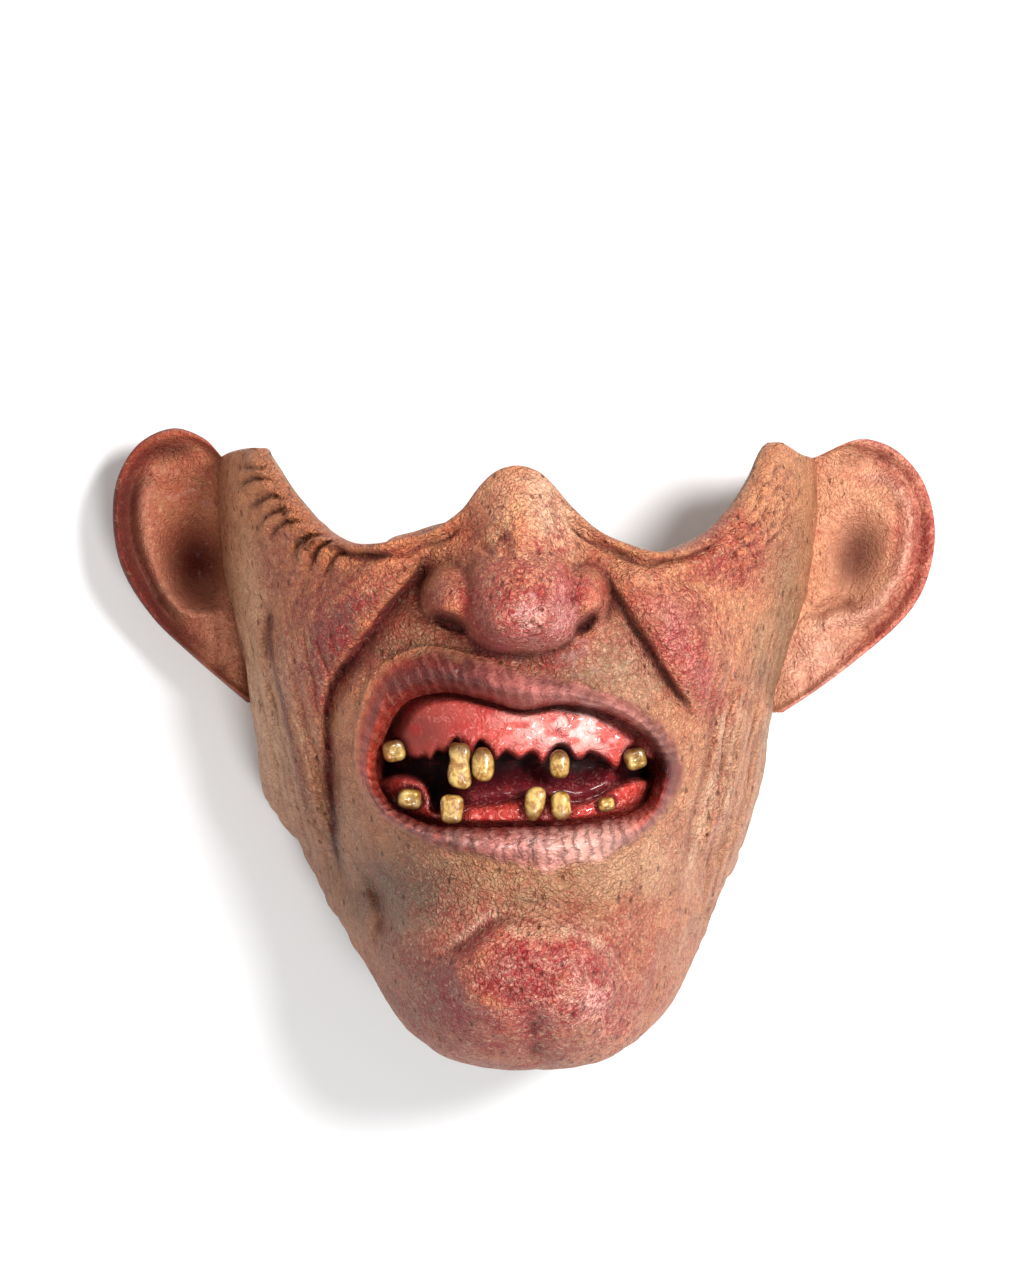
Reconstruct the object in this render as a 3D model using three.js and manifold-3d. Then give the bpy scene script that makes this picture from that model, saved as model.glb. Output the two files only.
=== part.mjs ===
// A latex monster half mask: the lower face from the nose bridge to under the chin, with large ears,
// a set of gums behind the lips and ten crooked teeth. It lies face up on its open back.
// Millimetres. X runs to the viewer's right, Y up the face and Z out of the face.
// The head is first shaped round the middle of the face, and MIDDLE then centres its outline.

import * as THREE from "three";
import * as BufferGeometryUtils from "three/addons/utils/BufferGeometryUtils.js";
import Module from "manifold-3d";

const wasm = await Module();
wasm.setup();

// Driving dimensions
const WALL = 3;
const FIT_GAP = 0.3;
const MIDDLE = { x: 0.71, y: -30.05 };

// How finely the shell is faceted: lines from the lips to the edge, and rings along them
const FACE_LINES = 84;
const FACE_RINGS = 27;
const BACK_RINGS = 6;

// Cross-sections of the head, from the temples down to the throat edge. Each runs from the open back
// on the left over the face to the open back on the right. front is the y and z of its middle, edge
// the y of its two ends, left and right how far they are from the middle, and the exponents say how
// square (flat) and how blunt (round) the curve between them is.
const SECTIONS = [
  { front: [62, 100], edge: 62, left: 90, right: 88, flat: 2.4, round: 1.8 },
  { front: [38, 102], edge: 40, left: 91, right: 89, flat: 2.4, round: 1.75 },
  { front: [14, 104], edge: 16, left: 88.5, right: 86, flat: 2.4, round: 1.7 },
  { front: [-10, 106], edge: -6, left: 82.4, right: 79, flat: 2.4, round: 1.7 },
  { front: [-34, 106], edge: -26, left: 74.8, right: 70.8, flat: 2.4, round: 1.65 },
  { front: [-58, 105], edge: -42, left: 68.4, right: 67, flat: 2.4, round: 1.55 },
  { front: [-79, 103], edge: -54, left: 64, right: 64.2, flat: 2.4, round: 1.4 },
  { front: [-98, 101], edge: -62, left: 62, right: 62.8, flat: 2.4, round: 1.3 },
  { front: [-112, 92], edge: -67, left: 58.6, right: 61.2, flat: 2.5, round: 1.2 },
  { front: [-119.5, 78], edge: -70, left: 55, right: 59.8, flat: 3, round: 1.1 },
  { front: [-121, 62], edge: -72, left: 53.4, right: 60, flat: 3.3, round: 1 },
];

// The mouth's opening and the outer edge of the lips: angle round the mouth in degrees, x and y
const MOUTH_EDGE = [
  [0, 37.8, -36],
  [25, 34.3, -27.7],
  [50, 24, -20.8],
  [72, 11, -18.2],
  [90, 0, -19.6],
  [108, -11.4, -16.6],
  [128, -22.5, -14.8],
  [150, -34, -19],
  [180, -40.8, -35.5],
  [205, -38, -45],
  [235, -26, -51.6],
  [270, -1, -52.2],
  [305, 22, -50.8],
  [335, 34.5, -46.3],
];
const LIP_EDGE = [
  [0, 45, -38],
  [22, 41.5, -27.5],
  [45, 32, -18.5],
  [68, 15, -12.2],
  [90, -2, -8],
  [110, -16, -4],
  [130, -28.5, -3],
  [152, -40, -10.5],
  [180, -46, -32],
  [207, -42, -46],
  [235, -28, -56],
  [270, 0, -62.3],
  [303, 22, -61],
  [330, 36.5, -53],
];
const LIPS = { height: 6, turnIn: 10 };

// Rounded forms of the nose, joined smoothly: x, y, half-width, half-height, height and squareness
const NOSE_BRIDGE = {
  x: -1.4,
  top: 49,
  bottom: 16,
  topHalfWidth: 11,
  bottomHalfWidth: 17,
  topHeight: 9,
  bottomHeight: 24,
};
const NOSE_DOMES = [
  { name: "bulb", x: -0.5, y: 11.5, rx: 17.4, ry: 15.4, height: 27, square: 2.5 },
  { name: "left wing", x: -19.6, y: 11.5, rx: 8.8, ry: 9.8, height: 18, square: 2 },
  { name: "right wing", x: 17, y: 12, rx: 8, ry: 9.4, height: 17, square: 2 },
];
const NOSE_BLEND = 4.2;
const NOSTRILS = [
  { name: "left nostril", x: -20.8, y: 5, rx: 5.2, ry: 2.8, turn: -20, height: -8 },
  { name: "right nostril", x: 18, y: 4.6, rx: 4, ry: 2.6, turn: 42, height: -8 },
];

// Broad forms: x, y, half-widths, turn in degrees and height
const MOUNDS = [
  { name: "muzzle", x: -3, y: -28, rx: 44, ry: 36, turn: 0, height: 5 },
  { name: "left cheek", x: -49, y: 8, rx: 26, ry: 12, turn: 50, height: 4 },
  { name: "right cheek", x: 47, y: 3, rx: 25, ry: 10, turn: -57, height: 4.5 },
  { name: "hollow under the left eye", x: -44, y: 20, rx: 20, ry: 6, turn: 14, height: -2.2 },
  { name: "hollow under the right eye", x: 42, y: 18.5, rx: 19, ry: 6, turn: -14, height: -2 },
  { name: "left jowl", x: -62, y: -38, rx: 12, ry: 26, turn: 8, height: 4 },
  { name: "right jowl", x: 58, y: -40, rx: 12, ry: 26, turn: -8, height: 4 },
  { name: "chin", x: 4, y: -97, rx: 28, ry: 19, turn: 0, height: 9.5 },
  { name: "chin's left lobe", x: -8, y: -104, rx: 11, ry: 10, turn: 0, height: 3 },
  { name: "chin's right lobe", x: 14.5, y: -99, rx: 10, ry: 11, turn: 0, height: 3.2 },
  { name: "nose tip's left lobe", x: -5.6, y: 3, rx: 6.4, ry: 6, turn: 0, height: 3.2 },
  { name: "nose tip's right lobe", x: 7, y: 3.4, rx: 6, ry: 6, turn: 0, height: 3 },
];

// Creases along a path: half-width and depth of the groove, and on one side of it (-1 to the right of the
// way along the path, 1 to its left) how high and how wide the skin bulges over the groove
const FOLDS = [
  {
    name: "left laughter line",
    groove: { halfWidth: 7, height: -4.5 },
    bulge: { side: -1, height: 5, width: 12 },
    path: [
      [-24, 25.8], [-27.9, 20.6], [-36.3, 10], [-44.4, -0.4], [-52.8, -10.8], [-55, -18.5], [-55.2, -44],
      [-52, -66],
    ],
  },
  {
    name: "right laughter line",
    groove: { halfWidth: 7, height: -4.5 },
    bulge: { side: 1, height: 5, width: 10 },
    path: [[21.5, 20], [24.9, 14.3], [31.5, 3.4], [38.3, -7.6], [46.5, -19], [50.2, -28.5]],
  },
  {
    name: "crease over the chin",
    groove: { halfWidth: 5, height: -3.5 },
    bulge: { side: -1, height: 3, width: 12 },
    path: [[-27, -92], [-23, -85.7], [-13, -80], [2, -76.4], [20.6, -82.6], [28, -91]],
  },
  {
    name: "left jaw dimple",
    groove: { halfWidth: 4, height: -4 },
    bulge: { side: -1, height: 3, width: 8 },
    path: [[-49, -62], [-44.2, -67], [-39.7, -76], [-38, -84]],
  },
  {
    name: "left drape",
    groove: { halfWidth: 4, height: -3 },
    bulge: { side: -1, height: 2.5, width: 9 },
    path: [[-75, 14], [-74, 0], [-72, -13], [-69, -24], [-66, -40]],
  },
  {
    name: "right drape",
    groove: { halfWidth: 4, height: -3 },
    bulge: { side: 1, height: 2.5, width: 9 },
    path: [[68, -8], [67, -22], [64, -38], [60, -54], [55, -66]],
  },
];

// The ears' outlines from the top of the join round to its bottom, and their reliefs
const LEFT_EAR = [
  [-88, 53], [-94, 59.7], [-103.5, 63.2], [-113.9, 57.9], [-120.2, 47], [-121.2, 33], [-118, 20],
  [-109.1, 6.2], [-97.3, -5], [-88, -13], [-81.5, -18.5],
];
const RIGHT_EAR = [
  [88, 54], [95, 58], [102, 59.7], [111.5, 56.1], [119.5, 46.5], [122.8, 32], [120, 17], [113.3, 6.2],
  [98.4, -6.8], [86, -16], [77.5, -21.5],
];
const EAR = { rootHeight: 15, rimHeight: 21, thickness: 3.4, lowest: 2.5, rows: 17, columns: 7 };

// The gums behind the lips: how deep they lie under the lips' rim, how far they bulge forward inside the
// mouth, the dark gap between the upper and the lower gum, and the seat of their edge against the shell
const GUMS = {
  x: -1.5,
  y: -34.5,
  halfLength: 50,
  halfHeight: 30,
  mouthHalfLength: 40,
  mouthHalfHeight: 18,
  depth: 14,
  bulge: 9,
  gapDepth: 11,
  gapTop: -32.5,
  gapBottom: -46,
  gapEnd: 37,
  seatGap: 1.2,
  seatReach: 4,
  thickness: 4,
  columns: 20,
  rows: 10,
};

// Teeth: x and y of the middle, width, height and depth, tilt in degrees
const UPPER_TEETH = [
  { x: -36, y: -31.3, width: 6, height: 6.4, tilt: 0 },
  { x: -17.5, y: -35, width: 7, height: 13, tilt: -4 },
  { x: -10.9, y: -34.6, width: 6.1, height: 11, tilt: 2 },
  { x: 10.4, y: -34.4, width: 5.9, height: 9, tilt: 0 },
  { x: 31.8, y: -33.4, width: 6.2, height: 6.4, tilt: 10 },
];
const LOWER_TEETH = [
  { x: -31.6, y: -44.6, width: 6.4, height: 6, tilt: 0 },
  { x: -19.6, y: -47.3, width: 6.7, height: 8, tilt: 0 },
  { x: 3.6, y: -45.6, width: 5.6, height: 10.5, tilt: -3 },
  { x: 10.9, y: -46.2, width: 5.6, height: 9.5, tilt: 4 },
  { x: 23.7, y: -46, width: 4.4, height: 4.4, tilt: 0 },
];
const TOOTH_DEPTH = 5.6;
const TOOTH_SUNK = 0.3;

const LATEX = { color: 0xc9825c, roughness: 0.5, metalness: 0 };
const GUM = { color: 0xb8433c, roughness: 0.2, metalness: 0 };
const ENAMEL = { color: 0xb5933f, roughness: 0.3, metalness: 0 };

const mix = (from, to, share) => from + (to - from) * share;
const radians = THREE.MathUtils.degToRad;
const smooth = (low, high, value) => THREE.MathUtils.smoothstep(value, low, high);
const hump = (value, middle, halfWidth) => Math.exp(-(((value - middle) / halfWidth) ** 2));

// A smooth curve through rows of a key and its values. With a period, the keys run round.
function through(rows, period = 0) {
  const last = rows.length - 1;
  const row = (i) => {
    if (!period) return rows[Math.min(Math.max(i, 0), last)];
    const turn = Math.floor(i / rows.length);
    const [key, ...values] = rows[i - turn * rows.length];
    return [key + turn * period, ...values];
  };
  return (key) => {
    const at = period ? key - Math.floor((key - rows[0][0]) / period) * period : key;
    let i = 0;
    while (i < (period ? last : last - 1) && row(i + 1)[0] < at) i++;
    const [before, from, to, after] = [row(i - 1), row(i), row(i + 1), row(i + 2)];
    const step = to[0] - from[0];
    const t = (at - from[0]) / step;
    return from.slice(1).map((value, j) => {
      const enter = ((to[j + 1] - before[j + 1]) / (to[0] - before[0])) * step;
      const leave = ((after[j + 1] - value) / (after[0] - from[0])) * step;
      const fall = t * t * (3 - 2 * t);
      return mix(value, to[j + 1], fall) + t * (1 - t) ** 2 * enter - t * t * (1 - t) * leave;
    });
  };
}

const sectionValues = through(
  SECTIONS.map((c, i) => [i / (SECTIONS.length - 1), ...c.front, c.edge, c.left, c.right, c.flat, c.round]),
);

// The bare head at a, from -1 at the left edge to 1 at the right one, and s, from the temples to the throat
function headPoint(a, s) {
  const [y, z, edge, left, right, flat, round] = sectionValues(s);
  const reach = Math.abs(Math.sin((a * Math.PI) / 2));
  const out = (1 - reach ** flat) ** (1 / round);
  return new THREE.Vector3(Math.sign(a) * reach * (a < 0 ? left : right), mix(edge, y, out), z * out);
}

// The a and s of the point of the bare head that shows at x and y from the front
function headAt(x, y) {
  let top = 0;
  let bottom = 0.85;
  let a = 0;
  for (let step = 0; step < 24; step++) {
    const s = (top + bottom) / 2;
    const [, , , left, right] = sectionValues(s);
    a = (Math.asin(Math.max(-0.999, Math.min(0.999, x / (x < 0 ? left : right)))) * 2) / Math.PI;
    if (headPoint(a, s).y > y) top = s;
    else bottom = s;
  }
  return [a, (top + bottom) / 2];
}

// The s of the section whose ends are at y
function sectionAt(y) {
  let top = 0;
  let bottom = 1;
  for (let step = 0; step < 24; step++) {
    const s = (top + bottom) / 2;
    if (sectionValues(s)[2] > y) top = s;
    else bottom = s;
  }
  return (top + bottom) / 2;
}

const seen = (angle, x, y) => [angle, ...headAt(x, y)];
const back = (angle, side, y) => [angle, side, sectionAt(y)];

// The shell's outer edge by the angle round the mouth: throat, right side, eyes, left side
const shellEdge = through(
  [
    [-90, 0, 1],
    [-62, 0.55, 1],
    [-42, 0.88, 1],
    back(-33, 1, -66),
    back(-18, 1, -48),
    back(0, 1, -14),
    back(14, 1, 16),
    back(26, 1, 42),
    back(29.5, 0.985, 53),
    seen(31.5, 82.5, 54.6),
    seen(34, 74.7, 57.3),
    seen(37.5, 68.5, 46.5),
    seen(42, 62.1, 37.8),
    seen(47, 54.5, 30.5),
    seen(52, 46.3, 26.6),
    seen(58, 38, 25),
    seen(64, 30, 26.9),
    seen(70, 22, 30.5),
    seen(76, 15.8, 35.8),
    seen(82, 9.5, 43.5),
    seen(87, 4.4, 47.8),
    seen(90, -1.4, 49.2),
    seen(93, -7.2, 47.8),
    seen(98, -12.3, 43.5),
    seen(104, -17.8, 36.2),
    seen(110, -24, 31.6),
    seen(116, -31.1, 29.1),
    seen(122, -38.5, 27.5),
    seen(128, -46, 27.2),
    seen(133, -53.5, 29.3),
    seen(138, -61, 34),
    seen(142.5, -69.3, 43.2),
    seen(146, -75.8, 53),
    seen(148.5, -80, 56),
    back(151, -0.985, 53),
    back(154, -1, 42),
    back(166, -1, 16),
    back(180, -1, -14),
    back(198, -1, -48),
    back(213, -1, -66),
    [222, -0.88, 1],
    [242, -0.55, 1],
  ],
  360,
);
const mouthEdge = through(MOUTH_EDGE, 360);
const lipEdge = through(LIP_EDGE, 360);

// Height of a rounded form at x and y
function mound(form, x, y, power) {
  const turn = radians(form.turn ?? 0);
  const dx = x - form.x;
  const dy = y - form.y;
  const along = (dx * Math.cos(turn) + dy * Math.sin(turn)) / form.rx;
  const across = (dy * Math.cos(turn) - dx * Math.sin(turn)) / form.ry;
  return form.height * Math.exp(-((along ** 2 + across ** 2) ** power));
}

// How far x and y are from a path, signed by the side they are on, and how far along it
function alongPath(path, x, y) {
  const point = new THREE.Vector3(x, y, 0);
  const near = new THREE.Vector3();
  let [distance, share, length] = [Infinity, 0, 0];
  for (let i = 1; i < path.length; i++) {
    const [from, to] = [path[i - 1], path[i]].map(([u, v]) => new THREE.Vector3(u, v, 0));
    const piece = new THREE.Line3(from, to);
    piece.closestPointToPoint(point, true, near);
    if (near.distanceTo(point) < Math.abs(distance)) {
      const turn = to.clone().sub(from).cross(point.clone().sub(from)).z;
      distance = near.distanceTo(point) * (Math.sign(turn) || 1);
      share = length + near.distanceTo(from);
    }
    length += piece.distance();
  }
  return [distance, share / length];
}

function fold({ groove, bulge, path }, x, y) {
  const [distance, share] = alongPath(path, x, y);
  const ends = smooth(0, 0.12, share) * (1 - smooth(0.75, 1, share));
  const over = distance * bulge.side;
  const crest = groove.halfWidth * 1.3;
  const swell = smooth(-groove.halfWidth / 2, crest, over) * hump(Math.max(0, over - crest), 0, bulge.width);
  return ends * (groove.height * hump(distance, 0, groove.halfWidth) + bulge.height * swell);
}

const smoothMax = (p, q, blend) => {
  const share = Math.max(0, Math.min(1, 0.5 + (p - q) / (2 * blend)));
  return mix(q, p, share) + blend * share * (1 - share);
};

function nose(x, y) {
  const { top, bottom, topHalfWidth, bottomHalfWidth, topHeight, bottomHeight } = NOSE_BRIDGE;
  const down = Math.min(1.1, Math.max(-0.2, (top - y) / (top - bottom)));
  const across = hump(x, NOSE_BRIDGE.x, mix(topHalfWidth, bottomHalfWidth, down));
  let height = mix(topHeight, bottomHeight, down) * across * smooth(bottom - 20, bottom - 2, y);
  for (const { x: u, y: v, rx, ry, height: rise, square } of NOSE_DOMES) {
    const inside = Math.max(0, 1 - Math.abs((x - u) / rx) ** square - Math.abs((y - v) / ry) ** square);
    height = smoothMax(height, rise * inside ** 0.6, NOSE_BLEND);
  }
  return height - NOSE_BLEND / 3;
}

function relief(x, y) {
  let height = nose(x, y);
  for (const form of NOSTRILS) height += mound(form, x, y, 1.5);
  for (const form of MOUNDS) height += mound(form, x, y, 1.3);
  for (const form of FOLDS) height += fold(form, x, y);
  return height;
}

// The way that relief rises: out of the face in front, square to the head at the sides
function rise(a, s) {
  const step = 0.01;
  const across = headPoint(Math.min(1, a + step), s).sub(headPoint(Math.max(-1, a - step), s));
  const down = headPoint(a, Math.min(1, s + step)).sub(headPoint(a, Math.max(0, s - step)));
  const square = down.cross(across).normalize();
  const side = Math.max(smooth(0.5, 0.85, Math.abs(a)), smooth(0.75, 0.95, s));
  return new THREE.Vector3(0, 0, 1).lerp(square, side).normalize();
}

// The spot on the bare head at an angle round the mouth and r from 0 at the mouth's edge to 1 at the
// shell's edge, and how far the lips rise from it. The first LIP_SHARE of r is the lips.
const LIP_SHARE = 0.14;

function spotAt(angle, r) {
  const mouth = mouthEdge(angle);
  const lip = lipEdge(angle);
  if (r < LIP_SHARE) {
    const q = r / LIP_SHARE;
    const lips = LIPS.height * Math.sin(Math.PI * q ** 0.8) - LIPS.turnIn * (1 - q) ** 3;
    return [...headAt(mix(mouth[0], lip[0], q), mix(mouth[1], lip[1], q)), lips];
  }
  const q = (r - LIP_SHARE) / (1 - LIP_SHARE);
  const from = headAt(...lip);
  const to = shellEdge(angle);
  return [Math.max(-1, Math.min(1, mix(from[0], to[0], q))), Math.min(1, mix(from[1], to[1], q)), 0];
}

// The outer surface there
function facePoint(angle, r) {
  const [a, s, lips] = spotAt(angle, r);
  const point = headPoint(a, s);
  const faded = 1 - smooth(0.9, 1, Math.abs(a));
  return point.addScaledVector(rise(a, s), relief(point.x, point.y) * faded + lips);
}

// The way out of the shell at a point, from points a few millimetres off so that small creases don't turn it
function wayOut(angle, r) {
  const along = facePoint(angle, Math.min(1, r + 0.025)).sub(facePoint(angle, Math.max(0, r - 0.025)));
  const around = facePoint(angle + 2, r).sub(facePoint(angle - 2, r));
  return along.cross(around).normalize();
}

// The values of r that cut the line at an angle into equal lengths on the bare head, with the lips' rings
// closer together and those down the sides further apart
function ringsOf(angle, count) {
  const samples = 120;
  const lipWeight = 3.2;
  const sideWeight = 0.6;
  const sideHeight = 60;
  const lengths = [0];
  const headSpot = (r) => headPoint(...spotAt(angle, r));
  let before = headSpot(0);
  for (let i = 1; i <= samples; i++) {
    const point = headSpot(i / samples);
    const weight = i / samples < LIP_SHARE ? lipWeight : point.z < sideHeight ? sideWeight : 1;
    lengths.push(lengths[i - 1] + point.distanceTo(before) * weight);
    before = point;
  }
  return Array.from({ length: count + 1 }, (_, ring) => {
    const wanted = (ring / count) * lengths[samples];
    let i = 1;
    while (i < samples && lengths[i] < wanted) i++;
    return (i - 1 + (wanted - lengths[i - 1]) / (lengths[i] - lengths[i - 1])) / samples;
  });
}

// A closed solid from a grid of points that runs round in both directions, or only across with its ends closed
function solidFromGrid(rows, closedRows) {
  const points = rows.flat();
  const count = rows[0].length;
  const index = [];
  const last = closedRows ? rows.length : rows.length - 1;
  for (let i = 0; i < last; i++) {
    for (let j = 0; j < count; j++) {
      const next = ((i + 1) % rows.length) * count;
      const [p, q] = [i * count + j, i * count + ((j + 1) % count)];
      const [u, v] = [next + j, next + ((j + 1) % count)];
      if (points[p].distanceTo(points[v]) < points[q].distanceTo(points[u])) index.push(p, u, v, p, v, q);
      else index.push(p, u, q, q, u, v);
    }
  }
  const geometry = new THREE.BufferGeometry();
  const positions = points.flatMap((p) => [p.x, p.y, p.z]);
  geometry.setAttribute("position", new THREE.Float32BufferAttribute(positions, 3));
  geometry.setIndex(index);
  return solidOf(geometry);
}

// A geometry as a solid, with its doubled points merged
function solidOf(geometry) {
  const bare = geometry.clone();
  bare.deleteAttribute("normal");
  bare.deleteAttribute("uv");
  const merged = BufferGeometryUtils.mergeVertices(bare, 1e-4);
  const triVerts = new Uint32Array(merged.index.array);
  const vertProperties = merged.attributes.position.array;
  const solid = new wasm.Manifold(new wasm.Mesh({ numProp: 3, vertProperties, triVerts }));
  if (solid.volume() > 0) return solid;
  for (let i = 0; i < triVerts.length; i += 3) {
    [triVerts[i + 1], triVerts[i + 2]] = [triVerts[i + 2], triVerts[i + 1]];
  }
  return new wasm.Manifold(new wasm.Mesh({ numProp: 3, vertProperties, triVerts }));
}

function meshOf(name, solid, finish) {
  const { vertProperties, triVerts } = solid.getMesh();
  const geometry = new THREE.BufferGeometry();
  geometry.setAttribute("position", new THREE.Float32BufferAttribute(vertProperties, 3));
  geometry.setIndex(Array.from(triVerts));
  geometry.computeVertexNormals();
  const mesh = new THREE.Mesh(geometry, new THREE.MeshStandardMaterial(finish));
  mesh.name = name;
  return mesh;
}

function faceShell() {
  const rows = [];
  for (let line = 0; line < FACE_LINES; line++) {
    const even = (line / FACE_LINES) * 2 * Math.PI;
    const angle = THREE.MathUtils.radToDeg(even + 0.3 * Math.cos(even));
    const outside = ringsOf(angle, FACE_RINGS).map((r) => facePoint(angle, r));
    const inside = ringsOf(angle, BACK_RINGS).map((r) => {
      const out = wayOut(angle, r);
      const point = facePoint(angle, r);
      if (r > 0.999 && point.z < 0.01) out.setZ(0).normalize();
      point.addScaledVector(out, -WALL);
      return point.setZ(Math.max(0, point.z));
    });
    rows.push([...outside, ...inside.reverse()]);
  }
  return solidFromGrid(rows, true);
}

// How far the head's outer wall is from the middle at y and z, near the open back
function wallAt(side, y, z) {
  const [, front, , left, right, flat, round] = sectionValues(sectionAt(y));
  return side * (side < 0 ? left : right) * (1 - (z / front) ** round) ** (1 / flat);
}

function ear(side, outline) {
  const lengths = [0];
  outline.slice(1).forEach(([x, y], i) => {
    lengths.push(lengths[i] + Math.hypot(x - outline[i][0], y - outline[i][1]));
  });
  const rim = through(outline.map((point, i) => [lengths[i] / lengths.at(-1), ...point]));
  const [topY, bottomY] = [outline[0][1], outline.at(-1)[1]];
  const layer = (v, e, isFront) => {
    const level = mix(EAR.rootHeight, EAR.rimHeight, e);
    const bowl = 8 * hump(e, 0.4, 0.24) * hump(v, 0.6, 0.3);
    const fold = 2.5 * hump(e, 0.66, 0.09) * hump(v, 0.45, 0.3);
    const carving = fold - 2.5 * hump(e, 0.82, 0.07) + 3 * hump(e, 0.95, 0.08);
    const z = isFront
      ? level - bowl + carving + EAR.thickness / 2
      : Math.max(EAR.lowest, level - bowl - EAR.thickness / 2);
    const rootY = mix(topY, bottomY, smooth(0, 1, v));
    const rootX = wallAt(side, rootY, Math.max(0, z)) - side * (WALL / 2);
    const [x, y] = rim(v);
    return new THREE.Vector3(mix(rootX, x, e), mix(rootY, y, e), z);
  };
  const rows = [];
  for (let i = 0; i <= EAR.rows; i++) {
    const v = mix(0.015, 0.985, i / EAR.rows);
    const columns = Array.from({ length: EAR.columns + 1 }, (_, j) => j / EAR.columns);
    const front = columns.map((e) => layer(v, e, true));
    const behind = columns.map((e) => layer(v, e, false));
    rows.push([...front, ...behind.reverse()]);
  }
  return solidFromStrip(rows);
}

// A closed solid from rows that each run round, with the first and last row closed by a fan
function solidFromStrip(rows) {
  const middle = (row) => row.reduce((sum, p) => sum.add(p), new THREE.Vector3()).divideScalar(row.length);
  const cap = (row) => row.map(() => middle(row));
  return solidFromGrid([cap(rows[0]), ...rows, cap(rows.at(-1))], false);
}

const headHeight = (x, y) => headPoint(...headAt(x, y)).z;

// The lowest that the carved face gets within reach of x and y
function lowestNear(x, y, reach) {
  const corners = [[0, 0], [reach, 0], [-reach, 0], [0, reach], [0, -reach]];
  return Math.min(...corners.map(([dx, dy]) => headHeight(x + dx, y + dy) + relief(x + dx, y + dy)));
}

// How far the gums reach up and down from their middle at a share of their half-length
const gumReach = (share) => GUMS.halfHeight * (1 - 0.86 * share ** 4) ** 0.5;

// How far forward the gums are at x and y
function gumHeight(x, y) {
  const { depth, bulge, gapDepth, gapTop, gapBottom, gapEnd } = GUMS;
  const across = Math.min(1, Math.abs(x - GUMS.x) / GUMS.halfLength);
  const edge = Math.max(across, Math.abs(y - GUMS.y) / gumReach(across));
  const inMouth = Math.hypot((x - GUMS.x) / GUMS.mouthHalfLength, (y - GUMS.y) / GUMS.mouthHalfHeight);
  const gap = smooth(gapBottom - 1.5, gapBottom + 1.5, y) * (1 - smooth(gapTop - 1.5, gapTop + 1.5, y));
  const ends = 1 - smooth(gapEnd - 4, gapEnd, Math.abs(x - GUMS.x));
  const inner = headHeight(x, y) - depth + bulge * (1 - smooth(0.7, 1, inMouth)) - gapDepth * gap * ends;
  const seated = lowestNear(x, y, GUMS.seatReach) - WALL - GUMS.seatGap;
  return Math.min(mix(inner, seated, smooth(0.78, 1, edge)), seated);
}

function gums() {
  const { x: middleX, y: middleY, halfLength, thickness } = GUMS;
  const rows = [];
  for (let i = 0; i <= GUMS.columns; i++) {
    const u = mix(-1, 1, i / GUMS.columns);
    const reach = gumReach(Math.abs(u));
    const front = [];
    const behind = [];
    for (let j = 0; j <= GUMS.rows; j++) {
      const v = mix(-1, 1, j / GUMS.rows);
      const [x, y] = [middleX + halfLength * u, middleY + reach * v];
      const lowest = Math.min(...[-thickness, 0, thickness].map((dy) => gumHeight(x, y + dy)));
      front.push(new THREE.Vector3(x, y, gumHeight(x, y)));
      behind.push(new THREE.Vector3(x, y, lowest - thickness));
    }
    rows.push([...front, ...behind.reverse()]);
  }
  return solidFromStrip(rows);
}

// A blunt peg, grown all round by a gap when it stands for the tooth's socket
function tooth({ x, y, width, height, tilt }, grown = 0) {
  const geometry = new THREE.SphereGeometry(1, 8, 6);
  const points = geometry.attributes.position;
  const blunt = (value) => Math.sign(value) * Math.abs(value) ** 0.75;
  for (let i = 0; i < points.count; i++) {
    points.setXYZ(
      i,
      blunt(points.getX(i)) * (width / 2 + grown),
      blunt(points.getY(i)) * (height / 2 + grown),
      blunt(points.getZ(i)) * (TOOTH_DEPTH / 2 + grown),
    );
  }
  const under = [-height / 4, 0, height / 4].map((dy) => gumHeight(x, y + dy));
  geometry.rotateZ(radians(tilt));
  geometry.translate(x, y, Math.max(...under) - TOOTH_SUNK);
  return solidOf(geometry);
}

const mask = new THREE.Group();
mask.position.set(-MIDDLE.x, -MIDDLE.y, 0);

const shell = faceShell().add(ear(-1, LEFT_EAR)).add(ear(1, RIGHT_EAR));
mask.add(meshOf("mask_shell", shell, LATEX));

let insert = gums();
for (const [row, teeth] of [["upper", UPPER_TEETH], ["lower", LOWER_TEETH]]) {
  teeth.forEach((form, i) => {
    mask.add(meshOf(`tooth_${row}_${i + 1}`, tooth(form), ENAMEL));
    insert = insert.subtract(tooth(form, FIT_GAP));
  });
}
mask.add(meshOf("mouth_insert", insert, GUM));

export default mask;
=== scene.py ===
# A latex monster half mask, finished: painted skin with its creases and ears, wet gums and stained teeth.
# Shapes are worked out in millimetres from the middle of the face: x to the viewer's right, y up the
# face and z out of it. They are put into metres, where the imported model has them, when a mesh is made.

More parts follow.
